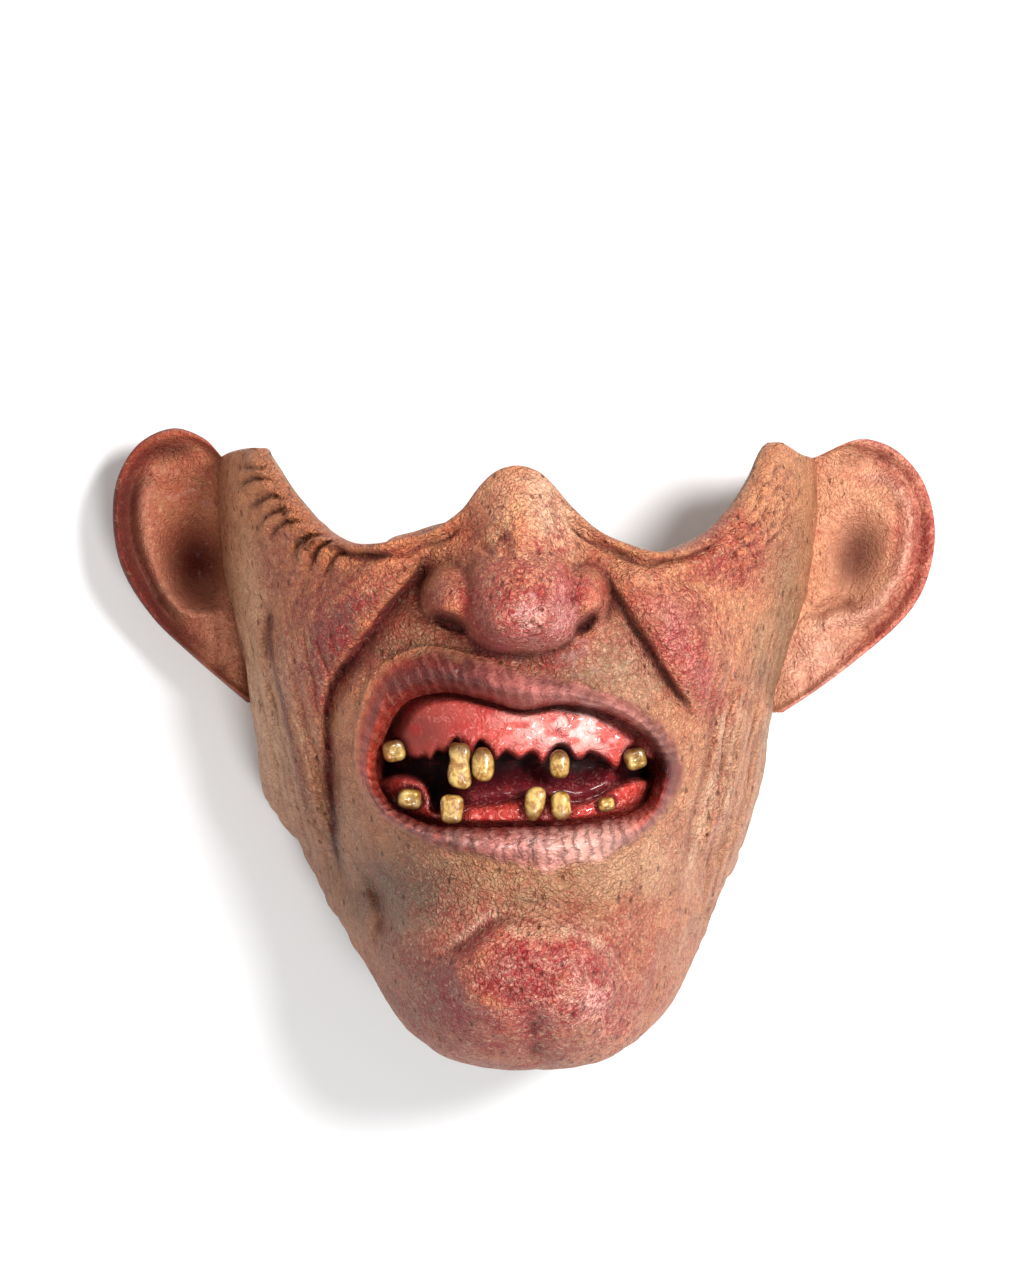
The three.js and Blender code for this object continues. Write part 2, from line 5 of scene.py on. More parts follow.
import bpy
import numpy as np
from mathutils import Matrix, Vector


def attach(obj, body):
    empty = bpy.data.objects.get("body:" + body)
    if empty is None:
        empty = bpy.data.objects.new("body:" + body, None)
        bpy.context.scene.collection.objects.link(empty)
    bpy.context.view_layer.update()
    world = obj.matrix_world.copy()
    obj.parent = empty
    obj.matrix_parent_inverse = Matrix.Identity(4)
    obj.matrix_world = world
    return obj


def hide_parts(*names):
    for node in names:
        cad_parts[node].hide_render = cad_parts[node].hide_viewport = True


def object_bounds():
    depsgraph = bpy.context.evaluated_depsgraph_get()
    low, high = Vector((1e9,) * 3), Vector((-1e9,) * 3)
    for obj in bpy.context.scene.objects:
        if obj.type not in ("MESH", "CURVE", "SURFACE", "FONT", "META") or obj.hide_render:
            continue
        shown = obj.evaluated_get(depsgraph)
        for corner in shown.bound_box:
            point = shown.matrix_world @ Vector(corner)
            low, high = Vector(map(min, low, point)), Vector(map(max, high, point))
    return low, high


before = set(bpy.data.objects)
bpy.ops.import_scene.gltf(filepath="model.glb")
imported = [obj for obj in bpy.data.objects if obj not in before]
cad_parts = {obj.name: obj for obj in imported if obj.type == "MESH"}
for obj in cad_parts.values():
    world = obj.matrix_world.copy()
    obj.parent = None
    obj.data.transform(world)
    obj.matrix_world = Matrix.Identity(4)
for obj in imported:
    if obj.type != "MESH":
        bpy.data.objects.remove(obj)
packed_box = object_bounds()

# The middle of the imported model, in the face's own millimetres, and the shell's wall
MIDDLE = np.array([0.71, -30.05, 0.0])
WALL = 3.0

# The picture's height and the lens's length in pixels, where the camera stands, and what the lights face
PICTURE_HEIGHT = 1280
LENS_PIXELS = 4631
CAMERA = (-0.0031, 0.03005, 1.395)
LIT_POINT = Vector((0, 0, 0.08))


# Numbers and curves


def mix(start, end, share):
    return start + (end - start) * share


def smooth(low, high, value):
    t = np.clip((value - low) / (high - low), 0, 1)
    return t * t * (3 - 2 * t)


def hump(value, middle, half_width):
    return np.exp(-(((value - middle) / half_width) ** 2))


def through(rows, period=0.0):
    """A smooth curve through rows of a key and its values. With a period, the keys run round."""
    rows = np.array(rows, float)
    first = rows[0, 0]
    if period:
        turn = np.eye(1, rows.shape[1])[0] * period
        rows = np.vstack([rows[-1:] - turn, rows, rows[:2] + turn])
    else:
        rows = np.vstack([rows[:1], rows, rows[-1:]])

    def curve(keys):
        keys = np.asarray(keys, float)
        if period:
            keys = first + np.mod(keys - first, period)
        i = np.clip(np.searchsorted(rows[:, 0], keys, side="right") - 1, 1, len(rows) - 3)
        before, start, end, after = rows[i - 1], rows[i], rows[i + 1], rows[i + 2]
        step = end[..., :1] - start[..., :1]
        t = (keys[..., None] - start[..., :1]) / step
        enter = (end - before) / (end - before)[..., :1] * step
        leave = (after - start) / (after - start)[..., :1] * step
        fall = t * t * (3 - 2 * t)
        return (mix(start, end, fall) + t * (1 - t) ** 2 * enter - t * t * (1 - t) * leave)[..., 1:]

    return curve


def curved(points, count=20):
    """More points on a smooth curve through these."""
    points = np.array(points, float)
    lengths = np.concatenate([[0], np.cumsum(np.hypot(*np.diff(points, axis=0).T))])
    curve = through(np.column_stack([lengths, points]))
    return curve(np.linspace(0, lengths[-1], count))


def lattice(x, y, z, seed):
    """A number from 0 to 1 for each whole place in space, the same in each run."""
    n = x * 374761393 + y * 668265263 + z * 2147483647 + seed * 974634777
    n = (n ^ (n >> 13)) * 1274126177
    return ((n ^ (n >> 16)) & 0xFFFF) / 0xFFFF


def lumps(points, size, seed=0):
    """Smooth lumps from -1 to 1 that are about that many millimetres apart."""
    scaled = points / size
    cell = np.floor(scaled).astype(np.int64)
    part = scaled - cell
    part = part * part * (3 - 2 * part)
    total = 0
    for corner in np.ndindex(2, 2, 2):
        weight = np.prod(np.where(corner, part, 1 - part), axis=-1)
        total = total + weight * lattice(*np.moveaxis(cell + corner, -1, 0), seed)
    return total * 2 - 1


# The bare head: for each cross-section the y and z of its middle, the y of its ends, how far they are
# to the left and right, and how square and how blunt the curve between them is

SECTIONS = [
    (62, 100, 62, 90, 88, 2.4, 1.8),
    (38, 102, 40, 91, 89, 2.4, 1.75),
    (14, 104, 16, 88.5, 86, 2.4, 1.7),
    (-10, 106, -6, 82.4, 79, 2.4, 1.7),
    (-34, 106, -26, 74.8, 70.8, 2.4, 1.65),
    (-58, 105, -42, 68.4, 67, 2.4, 1.55),
    (-79, 103, -54, 64, 64.2, 2.4, 1.4),
    (-98, 101, -62, 62, 62.8, 2.4, 1.3),
    (-112, 92, -67, 58.6, 61.2, 2.5, 1.2),
    (-119.5, 78, -70, 55, 59.8, 3, 1.1),
    (-121, 62, -72, 53.4, 60, 3.3, 1),
]
section_values = through([(i / (len(SECTIONS) - 1), *row) for i, row in enumerate(SECTIONS)])


def head_point(a, s):
    """The bare head at a, from -1 at the left edge to 1 at the right one, and s, from temples to throat."""
    y, z, edge, left, right, square, blunt = np.moveaxis(section_values(s), -1, 0)
    reach = np.abs(np.sin(a * np.pi / 2))
    out = np.maximum(0, 1 - reach**square) ** (1 / blunt)
    return np.stack([np.sign(a) * reach * np.where(a < 0, left, right), mix(edge, y, out), z * out], -1)


def head_at(x, y):
    """The a and s of the point of the bare head that shows at x and y from the front."""
    x, y = np.asarray(x, float), np.asarray(y, float)
    top, bottom = np.zeros(x.shape), np.full(x.shape, 0.85)
    for _ in range(24):
        s = (top + bottom) / 2
        values = section_values(s)
        half = np.where(x < 0, values[..., 3], values[..., 4])
        a = np.arcsin(np.clip(x / half, -0.999, 0.999)) * 2 / np.pi
        above = head_point(a, s)[..., 1] > y
        top, bottom = np.where(above, s, top), np.where(above, bottom, s)
    return a, (top + bottom) / 2


def head_height(x, y):
    return head_point(*head_at(x, y))[..., 2]


def section_at(y):
    """The s of the section whose ends are at y."""
    y = np.asarray(y, float)
    top, bottom = np.zeros(y.shape), np.ones(y.shape)
    for _ in range(24):
        s = (top + bottom) / 2
        above = section_values(s)[..., 2] > y
        top, bottom = np.where(above, s, top), np.where(above, bottom, s)
    return (top + bottom) / 2


def seen(angle, x, y):
    return (angle, *head_at(x, y))


def behind(angle, side, y):
    return (angle, side, section_at(y))


# The edges, by the angle round the mouth: the mouth's opening, the outer edge of the lips, and the cut
# edge of the shell from the throat over the right side, the eyes and the left side

MOUTH_EDGE = [
    (0, 37.8, -36),
    (25, 34.3, -27.7),
    (50, 24, -20.8),
    (72, 11, -18.2),
    (90, 0, -19.6),
    (108, -11.4, -16.6),
    (128, -22.5, -14.8),
    (150, -34, -19),
    (180, -40.8, -35.5),
    (205, -38, -45),
    (235, -26, -51.6),
    (270, -1, -52.2),
    (305, 22, -50.8),
    (335, 34.5, -46.3),
]
LIP_EDGE = [
    (0, 45, -38),
    (22, 41.5, -27.5),
    (45, 32, -18.5),
    (68, 15, -12.2),
    (90, -2, -8),
    (110, -16, -4),
    (130, -28.5, -3),
    (152, -40, -10.5),
    (180, -46, -32),
    (207, -42, -46),
    (235, -28, -56),
    (270, 0, -62.3),
    (303, 22, -61),
    (330, 36.5, -53),
]
SHELL_EDGE = [
    (-90, 0, 1),
    (-62, 0.55, 1),
    (-42, 0.88, 1),
    behind(-33, 1, -66),
    behind(-18, 1, -48),
    behind(0, 1, -14),
    behind(14, 1, 16),
    behind(26, 1, 42),
    behind(29.5, 0.985, 53),
    seen(31.5, 82.5, 54.6),
    seen(34, 74.7, 57.3),
    seen(37.5, 68.5, 46.5),
    seen(42, 62.1, 37.8),
    seen(47, 54.5, 30.5),
    seen(52, 46.3, 26.6),
    seen(58, 38, 25),
    seen(64, 30, 26.9),
    seen(70, 22, 30.5),
    seen(76, 15.8, 35.8),
    seen(82, 9.5, 43.5),
    seen(87, 4.4, 47.8),
    seen(90, -1.4, 49.2),
    seen(93, -7.2, 47.8),
    seen(98, -12.3, 43.5),
    seen(104, -17.8, 36.2),
    seen(110, -24, 31.6),
    seen(116, -31.1, 29.1),
    seen(122, -38.5, 27.5),
    seen(128, -46, 27.2),
    seen(133, -53.5, 29.3),
    seen(138, -61, 34),
    seen(142.5, -69.3, 43.2),
    seen(146, -75.8, 53),
    seen(148.5, -80, 56),
    behind(151, -0.985, 53),
    behind(154, -1, 42),
    behind(166, -1, 16),
    behind(180, -1, -14),
    behind(198, -1, -48),
    behind(213, -1, -66),
    (222, -0.88, 1),
    (242, -0.55, 1),
]
mouth_edge = through(MOUTH_EDGE, 360)
lip_edge = through(LIP_EDGE, 360)
shell_edge = through(SHELL_EDGE, 360)


# Carving. A mound has x, y, half-widths, turn in degrees and height.

MOUNDS = [
    (-3, -28, 44, 36, 0, 5),  # muzzle
    (-49, 8, 26, 12, 50, 4),  # left cheek
    (47, 3, 25, 10, -57, 4.5),  # right cheek
    (-44, 20, 20, 4, 14, -2.2),  # hollow under the left eye
    (42, 18.5, 19, 4, -14, -2),  # hollow under the right eye
    (-62, -38, 12, 26, 8, 4),  # left jowl
    (58, -40, 12, 26, -8, 4),  # right jowl
    (4, -97, 28, 19, 0, 9.5),  # chin
    (-8, -105, 11, 10, 0, 3.8),  # chin's left lobe
    (14.5, -101, 10, 11, 0, 4),  # chin's right lobe
    (-5.6, 3, 6.4, 6, 0, 3),  # nose tip's left lobe
    (7, 3.4, 6, 6, 0, 2.8),  # nose tip's right lobe
    (2, 36, 8, 9, 10, 1.2),  # hump on the nose bridge
    (-14, 27, 5, 9, 30, -1.6),  # hollow beside the bridge
    (3, -11, 8, 5, 0, -1.2),  # under the nose
]

# Creases along a path: half-width and depth of the groove, the side that the skin bulges on (-1 is right
# of the way along the path), the bulge's height and width, and how far it is pulled over the groove
CREASES = {
    "left laughter line": (
        (2.1, -7), (-1, 5, 12, 1.8),
        [(-24, 25.8), (-27.9, 20.6), (-31.9, 15.4), (-36.3, 10), (-42.4, 2), (-48.3, -5), (-52.8, -10.8),
         (-55, -18.5), (-55.4, -29.5), (-55.2, -44), (-54.4, -56), (-52, -66)],
    ),
    "right laughter line": (
        (1.5, -4.4), (1, 5, 10, 1.4),
        [(21.5, 20), (24.9, 14.3), (29.9, 5.9), (34.9, -1.7), (38.3, -7.6), (42.5, -13.4), (47.5, -20.1),
         (50, -25.6)],
    ),
    "left jaw fold": (
        (2.4, -2.8), (-1, 2.4, 7, 1),
        [(-55.6, -57), (-52.4, -67.1), (-48.4, -75), (-42.6, -85), (-37, -94.5)],
    ),
    "left dimple": (
        (2.6, -6.5), (-1, 2.6, 5, 0.6),
        [(-47.6, -62), (-44.6, -68), (-42.4, -73), (-40.6, -78), (-40.4, -83), (-42, -90)],
    ),
    "left outer drape": (
        (1.9, -3.6), (-1, 1.8, 6, 1),
        [(-74.5, 14), (-73.4, 4), (-71.6, -7), (-68.3, -21), (-64.1, -40.3), (-60, -56)],
    ),
    "left inner drape": (
        (1.8, -2.2), (-1, 1.8, 5, 0.4),
        [(-65.7, 0), (-64.9, -13.4), (-61.3, -28), (-57.3, -41), (-55, -54)],
    ),
    "right inner drape": (
        (1.9, -3), (1, 2.6, 4, 0.8),
        [(55.4, -12), (54.6, -26), (52.5, -42), (48.6, -56), (45.5, -70)],
    ),
    "right middle drape": (
        (1.7, -2.8), (1, 2.4, 4, 0.6),
        [(59.6, -8), (59, -24), (56, -42), (51, -58), (48, -72)],
    ),
    "right outer drape": (
        (1.8, -2.8), (1, 2.4, 5, 0.6),
        [(65, -10), (63.6, -28), (60, -46), (54.5, -62), (50, -76)],
    ),
    "crease over the chin": (
        (3.4, -1.8), (-1, 2.4, 9, 0.6),
        [(-26.5, -87.5), (-19.3, -85.6), (-14.3, -82.8), (-9.8, -79.1), (-2.5, -76.8), (6.1, -76.4),
         (14.2, -78), (21.5, -81.8), (27, -88)],
    ),
    "fold at the chin's left": (
        (1.6, -1.5), (-1, 1.4, 3.4, 0.3),
        [(-24.5, -90.5), (-20.3, -88.6), (-16, -86), (-12, -82.2), (-8.6, -79.4), (-4, -77.6), (2, -76.6)],
    ),
    "wrinkle over the chin": (
        (1.3, -1), (-1, 0.5, 3, 0),
        [(-15, -78.5), (-9, -75), (0, -73), (9, -73.2), (18, -75.5), (27, -81)],
    ),
    "cleft in the chin": ((3.6, -3), (1, 0, 1, 0), [(2.6, -99), (3, -106), (3.4, -112), (3.6, -120)]),
    "left arm of the cleft": ((2.6, -2.2), (1, 0, 1, 0), [(2.6, -104), (-3, -99), (-9, -95.4), (-16, -93)]),
    "right arm of the cleft": ((2.2, -1.5), (1, 0, 1, 0), [(2.6, -103), (7, -96), (11, -90), (17, -87)]),
    "left wing's crease": (
        (1.8, -2.6), (-1, 0, 1, 0),
        [(-28.6, 6), (-28.8, 13), (-27, 18.4), (-24.2, 21.6), (-20.6, 22.4), (-17.2, 20.4), (-15.6, 17)],
    ),
    "right wing's crease": (
        (1.6, -1.6), (1, 0, 1, 0),
        [(13.6, 17.4), (16.6, 20.6), (20.6, 20.8), (23.6, 17.6), (25.4, 12)],
    ),
    "cleft in the nose tip": ((2, -0.8), (1, 0, 1, 0), [(0.4, 9), (0.8, 4), (1.2, 0), (1.4, -4)]),
    "long dent in the bridge": (
        (1.5, -2.2), (1, 1.4, 2.6, 0),
        [(-6.6, 33), (-5.2, 29), (-3.8, 25.8), (-1.8, 21.6)],
    ),
    "short dent in the bridge": (
        (1.4, -1.4), (-1, 0.8, 2, 0),
        [(-12.6, 30), (-11, 27), (-8.8, 24), (-5, 21)],
    ),
    "ridge on the left cheek": (
        (2.2, 1), (-1, 0, 1, 0),
        [(-24, 28), (-31.3, 26), (-38.3, 22.4), (-44.8, 18.6), (-54, 10.9), (-61.5, 5)],
    ),
    "trough over the left ridge": (
        (2.6, -1.5), (-1, 0, 1, 0),
        [(-36, 26), (-43, 22.6), (-50, 18.4), (-58, 13)],
    ),
    "ridge on the right cheek": (
        (2, 0.9), (1, 0, 1, 0),
        [(22.9, 23.4), (28, 20.3), (40, 14.6), (49.2, 8.4), (55.9, 0), (59.3, -8.4), (59, -16.8)],
    ),
    "trough over the right ridge": ((2.6, -1.3), (1, 0, 1, 0), [(33, 21.5), (43, 17), (52, 11), (59, 3)]),
    "fork under the left temple": ((1.1, -1.6), (1, 0.6, 2, 0), [(-65, 31), (-63.4, 25.6), (-61.3, 19.9)]),
    "nick on the right cheek": ((0.9, -1.5), (1, 0.6, 2, 0), [(64, 23.4), (67.1, 20), (69.6, 16.6)]),
    "wrinkle by the right eye": ((1.1, -1), (1, 0.5, 2, 0), [(58, 30), (60.5, 25), (61.5, 18), (60, 10)]),
    "second wrinkle by the right eye": ((1, -0.9), (1, 0.4, 2, 0), [(64, 36), (67, 30), (69, 24), (70, 14)]),
    "crease in the upper lip": ((0.8, -1.2), (1, 0.3, 2, 0), [(-15.4, -3), (-16.8, -7.6), (-18, -11.4)]),
    "fold in the left lip": ((1.1, -1.2), (1, 0.8, 2.4, 0), [(-33.6, -12), (-36.4, -16.6), (-38.9, -22)]),
}

# Nose: the bridge from its top to its bottom, domes with x, y, half-widths, height and squareness, how
# softly they join, and the nostrils as mounds
BRIDGE = {"x": -1.4, "y": (49, 16), "half_width": (11, 17), "height": (9, 24)}
NOSE_DOMES = [(-0.5, 11.5, 17.4, 15.4, 27, 2.5), (-19.6, 11.5, 8.8, 9.8, 18, 2), (17, 12, 8, 9.4, 17, 2)]
NOSE_BLEND = 4.2
NOSTRILS = [(-20.8, 5, 5.2, 2.1, -20, -12), (18, 4.6, 4, 1.7, 42, -9)]

# How far a crease acts on the skin beside it, and how far round each point the back clears the grooves
CREASE_REACH = 30.0
CLEARED = 4.0

# How high the lips rise, how far their inner edge turns in, and their share of the way to the cut edge
LIP_HEIGHT = 6.0
LIP_TURN_IN = 10.0
LIP_SHARE = 0.14


def mound(x, y, form, power=1.3):
    middle_x, middle_y, half_x, half_y, turn, height = form
    turn = np.radians(turn)
    dx, dy = x - middle_x, y - middle_y
    along = (dx * np.cos(turn) + dy * np.sin(turn)) / half_x
    across = (dy * np.cos(turn) - dx * np.sin(turn)) / half_y
    return height * np.exp(-((along**2 + across**2) ** power))


def beside(path, x, y):
    """How far x and y are from a path, signed by its side, how far along it, and the way to it."""
    distance = np.full(x.shape, 1e9)
    side, share = np.ones(x.shape), np.zeros(x.shape)
    to_x, to_y = np.zeros(x.shape), np.zeros(x.shape)
    steps = np.diff(path, axis=0)
    lengths = np.hypot(*steps.T)
    total = lengths.sum()
    done = 0.0
    for (px, py), (sx, sy), length in zip(path, steps, lengths):
        dx, dy = x - px, y - py
        t = np.clip((dx * sx + dy * sy) / length**2, 0, 1)
        gap_x, gap_y = dx - sx * t, dy - sy * t
        gap = np.hypot(gap_x, gap_y)
        nearer = gap < distance
        distance = np.where(nearer, gap, distance)
        side = np.where(nearer, np.where(sx * dy - sy * dx < 0, -1.0, 1.0), side)
        share = np.where(nearer, (done + t * length) / total, share)
        to_x = np.where(nearer, -gap_x / np.maximum(gap, 1e-6), to_x)
        to_y = np.where(nearer, -gap_y / np.maximum(gap, 1e-6), to_y)
        done += length
    return distance * side, share, to_x, to_y


def tapered(share, path):
    """How strong a line along a path is: it fades over a few millimetres at its ends."""
    length = np.hypot(*np.diff(path, axis=0).T).sum()
    return smooth(0, min(0.35, 10 / length), share) * (1 - smooth(1 - min(0.4, 14 / length), 1, share))


def nose(x, y):
    top, bottom = BRIDGE["y"]
    fallen = np.clip((top - y) / (top - bottom), -0.2, 1.1)
    ridge = hump(x, BRIDGE["x"], mix(*BRIDGE["half_width"], fallen))
    height = mix(*BRIDGE["height"], fallen) * ridge * smooth(bottom - 20, bottom - 2, y)
    for middle_x, middle_y, half_x, half_y, rise, square in NOSE_DOMES:
        across, down = np.abs(x - middle_x) / half_x, np.abs(y - middle_y) / half_y
        dome = rise * np.maximum(0, 1 - across**square - down**square) ** 0.6
        share = np.clip(0.5 + (height - dome) / (2 * NOSE_BLEND), 0, 1)
        height = mix(dome, height, share) + NOSE_BLEND * share * (1 - share)
    return height - NOSE_BLEND / 3


def creased(x, y):
    """The height of the creases at x and y, and how far they draw the skin sideways there."""
    height, drawn_x, drawn_y = np.zeros((3, *x.shape))
    for (half_width, depth), (bulge_side, bulge, width, pull), points in CREASES.values():
        path = curved(points, 3 * len(points))
        (low_x, low_y), (high_x, high_y) = path.min(0) - CREASE_REACH, path.max(0) + CREASE_REACH
        near = (x > low_x) & (x < high_x) & (y > low_y) & (y < high_y)
        distance, share, to_x, to_y = beside(path, x[near], y[near])
        ends = tapered(share, path) * (0.86 + 0.14 * np.sin(share * 19))
        over = distance * bulge_side
        crest = half_width * 1.4 + width * 0.5
        swell = smooth(-half_width / 3, crest, over) ** 0.65 * hump(np.maximum(0, over - crest), 0, width)
        groove_width = half_width * np.where((over < 0) & (bulge > 0), 1.5, 1)
        height[near] += ends * (depth * hump(distance, 0, groove_width) + bulge * swell)
        draw = ends * pull * smooth(0, 3.5, over) * hump(np.maximum(0, over - 3.5), 0, 5)
        drawn_x[near] += draw * to_x
        drawn_y[near] += draw * to_y
    return height, drawn_x, drawn_y


def carving(x, y):
    """The height of the whole carving at x and y, and how far the skin is drawn sideways there."""
    height, drawn_x, drawn_y = creased(x, y)
    height = height + nose(x, y) + sum(mound(x, y, form) for form in MOUNDS)
    return height + sum(mound(x, y, form, 1.5) for form in NOSTRILS), drawn_x, drawn_y


def lowest_carving(x, y):
    """The lowest height of the carving within a few millimetres, for a back that clears every groove."""
    steps = (-CLEARED, 0, CLEARED)
    return np.min([carving(x + dx, y + dy)[0] for dx in steps for dy in steps], axis=0)


def spot_at(angle, r):
    """The a and s of the bare head at an angle round the mouth and r, from 0 at the mouth's edge to 1 at
    the shell's edge, and how far the lips rise there. The first LIP_SHARE of r is the lips."""
    mouth, lip, shell = mouth_edge(angle), lip_edge(angle), shell_edge(angle)
    q = np.clip(r / LIP_SHARE, 0, 1)
    lip_a, lip_s = head_at(mix(mouth[..., 0], lip[..., 0], q), mix(mouth[..., 1], lip[..., 1], q))
    from_a, from_s = head_at(lip[..., 0], lip[..., 1])
    out = (r - LIP_SHARE) / (1 - LIP_SHARE)
    on_lips = r < LIP_SHARE
    a = np.where(on_lips, lip_a, np.clip(mix(from_a, shell[..., 0], out), -1, 1))
    s = np.where(on_lips, lip_s, np.minimum(1, mix(from_s, shell[..., 1], out)))
    rise = LIP_HEIGHT * np.sin(np.pi * q**0.8) - LIP_TURN_IN * (1 - q) ** 3
    return a, s, np.where(on_lips, rise, 0)


def rings_of(angle, count, lip_weight, side_weight):
    """The values of r that cut each line into equal lengths, closer together on the lips."""
    samples = np.linspace(0, 1, 160)
    a, s, _ = spot_at(*np.broadcast_arrays(angle[:, None], samples[None, :]))
    points = head_point(a, s)
    steps = np.linalg.norm(np.diff(points, axis=1), axis=-1)
    weight = np.where(samples[1:] < LIP_SHARE, lip_weight, np.where(points[:, 1:, 2] < 60, side_weight, 1))
    lengths = np.concatenate([np.zeros((len(angle), 1)), np.cumsum(steps * weight, axis=1)], axis=1)
    shares = np.linspace(0, 1, count + 1)
    return np.array([np.interp(shares * line[-1], line, samples) for line in lengths])


def from_corner(angle):
    """How many degrees round the mouth an angle is from the right corner."""
    return np.minimum(angle, 360 - angle)


def out_of_head(a, s):
    """The way that relief rises: out of the face in front, square to the head at the sides."""
    step = 0.01
    across = head_point(np.minimum(1, a + step), s) - head_point(np.maximum(-1, a - step), s)
    down = head_point(a, np.minimum(1, s + step)) - head_point(a, np.maximum(0, s - step))
    square = np.cross(down, across)
    square /= np.linalg.norm(square, axis=-1, keepdims=True)
    side = np.maximum(smooth(0.5, 0.85, np.abs(a)), smooth(0.75, 0.95, s))[..., None]
    way = mix(np.array([0.0, 0.0, 1.0]), square, side)
    return way / np.linalg.norm(way, axis=-1, keepdims=True)


def grid_normals(points):
    """The way out of a grid of points whose rows run round the mouth."""
    along = np.gradient(points, axis=1)
    around = (np.roll(points, -1, axis=0) - np.roll(points, 1, axis=0)) / 2
    way = np.cross(along, around)
    return way / np.maximum(np.linalg.norm(way, axis=-1, keepdims=True), 1e-9)


def blurred(values, steps, around=True):
    """A grid of numbers smoothed over that many steps each way."""
    for _ in range(steps):
        padded = np.concatenate([values[:, :1], values, values[:, -1:]], axis=1)
        values = (padded[:, :-2] + 2 * padded[:, 1:-1] + padded[:, 2:]) / 4
        if around:
            values = (np.roll(values, 1, axis=0) + 2 * values + np.roll(values, -1, axis=0)) / 4
    return values


def smoothed(points, steps):
    return np.stack([blurred(points[..., i], steps) for i in range(3)], -1)


# Where the lines are closer together: an angle round the mouth, a reach and how much closer
CLOSER_LINES = [
    (90, 60, 0.4), (139, 11, 1.3), (149.8, 1.8, 6), (41, 12, 0.6), (30.3, 1.8, 8), (219, 10, 0.8),
    (322, 10, 0.8),
]


def line_angles(count):
    """Angles round the mouth, closer together where the skin has more folds."""
    steps = np.linspace(0, 360, 1441)
    closeness = 1 + sum(extra * hump(steps, middle, reach) for middle, reach, extra in CLOSER_LINES)
    total = np.concatenate([[0], np.cumsum((closeness[1:] + closeness[:-1]) / 2)])
    return np.interp(np.arange(count) / count * total[-1], total, steps)


# Meshes


def closed_grid(rows, columns, wrap_rows=True):
    """The four-sided faces of a grid that runs round along its columns, and maybe along its rows."""
    last = rows if wrap_rows else rows - 1
    i, j = np.meshgrid(np.arange(last), np.arange(columns), indexing="ij")
    after, beyond = (i + 1) % rows, (j + 1) % columns
    corners = [i * columns + j, after * columns + j, after * columns + beyond, i * columns + beyond]
    return np.stack(corners, -1).reshape(-1, 4)


def make_piece(name, points, faces, numbers, paint=None):
    """A smooth mesh object from points in millimetres and arrays of faces, with numbers and paint kept
    at its points."""
    mesh = bpy.data.meshes.new(name)
    placed = (np.asarray(points, float).reshape(-1, 3) - MIDDLE) * 0.001
    corners = np.concatenate([group.ravel() for group in faces]).astype(np.int32)
    sides = np.concatenate([np.full(len(group), group.shape[1]) for group in faces])
    starts = np.concatenate([[0], np.cumsum(sides)[:-1]]).astype(np.int32)
    mesh.vertices.add(len(placed))
    mesh.vertices.foreach_set("co", placed.ravel())
    mesh.loops.add(len(corners))
    mesh.loops.foreach_set("vertex_index", corners)
    mesh.polygons.add(len(sides))
    mesh.polygons.foreach_set("loop_start", starts)
    mesh.update(calc_edges=True)
    for key, values in numbers.items():
        layer = mesh.attributes.new(key, "FLOAT", "POINT")
        layer.data.foreach_set("value", np.asarray(values, np.float32).ravel())
    if paint is not None:
        layer = mesh.attributes.new("paint", "FLOAT_COLOR", "POINT")
        full = np.concatenate([paint, np.ones((len(placed), 1))], axis=1)
        layer.data.foreach_set("color", full.astype(np.float32).ravel())
    mesh.validate()
    mesh.shade_smooth()
    piece = bpy.data.objects.new(name, mesh)
    bpy.context.scene.collection.objects.link(piece)
    return piece


def linear(colour):
    """A colour of six hexadecimal digits as the light it gives."""
    parts = np.array([int(colour[i : i + 2], 16) / 255 for i in (0, 2, 4)])
    return np.where(parts < 0.04045, parts / 12.92, ((parts + 0.055) / 1.055) ** 2.4)


def coat(colour, shade, share):
    """A colour under a coat of another, which covers that share of it at each point."""
    return mix(colour, linear(shade), share[..., None])


# The shell's skin: how many lines run out from the mouth and rings run round it, and the ears' grids

FACE_LINES = 480
FACE_RINGS = 140
BACK_RINGS = 20
EAR_ROWS = 120
EAR_COLUMNS = 44
EAR_BACK_COLUMNS = 16


def lip_wrinkles(angle, q):
    """Short creases across the lips, deepest in the middle of the lower one."""
    place = np.radians(angle) * 32
    place = place + 1.3 * np.sin(place * 0.9) + 0.7 * np.sin(place * 2.3 + 1)
    fine = hump(np.sin(place), 0, 0.28)
    coarse = hump(np.sin(place * 0.5 + 0.7), 0, 0.22)
    from_lower_middle = np.mod(angle - 90, 360) - 180
    lower = hump(from_lower_middle, 0, 42)
    upper = hump(angle, 95, 50)
    depth = 0.1 + 0.7 * lower + 0.06 * upper
    return -depth * (0.7 * fine + 1.1 * coarse) * smooth(0.05, 0.3, q) * (1 - smooth(0.8, 1.15, q))


EYE_RIM = head_point(*shell_edge(np.linspace(31.5, 148.5, 90)).T)[:, :2]
EYE_RIM_LENGTH = np.hypot(*np.diff(EYE_RIM, axis=0).T).sum()


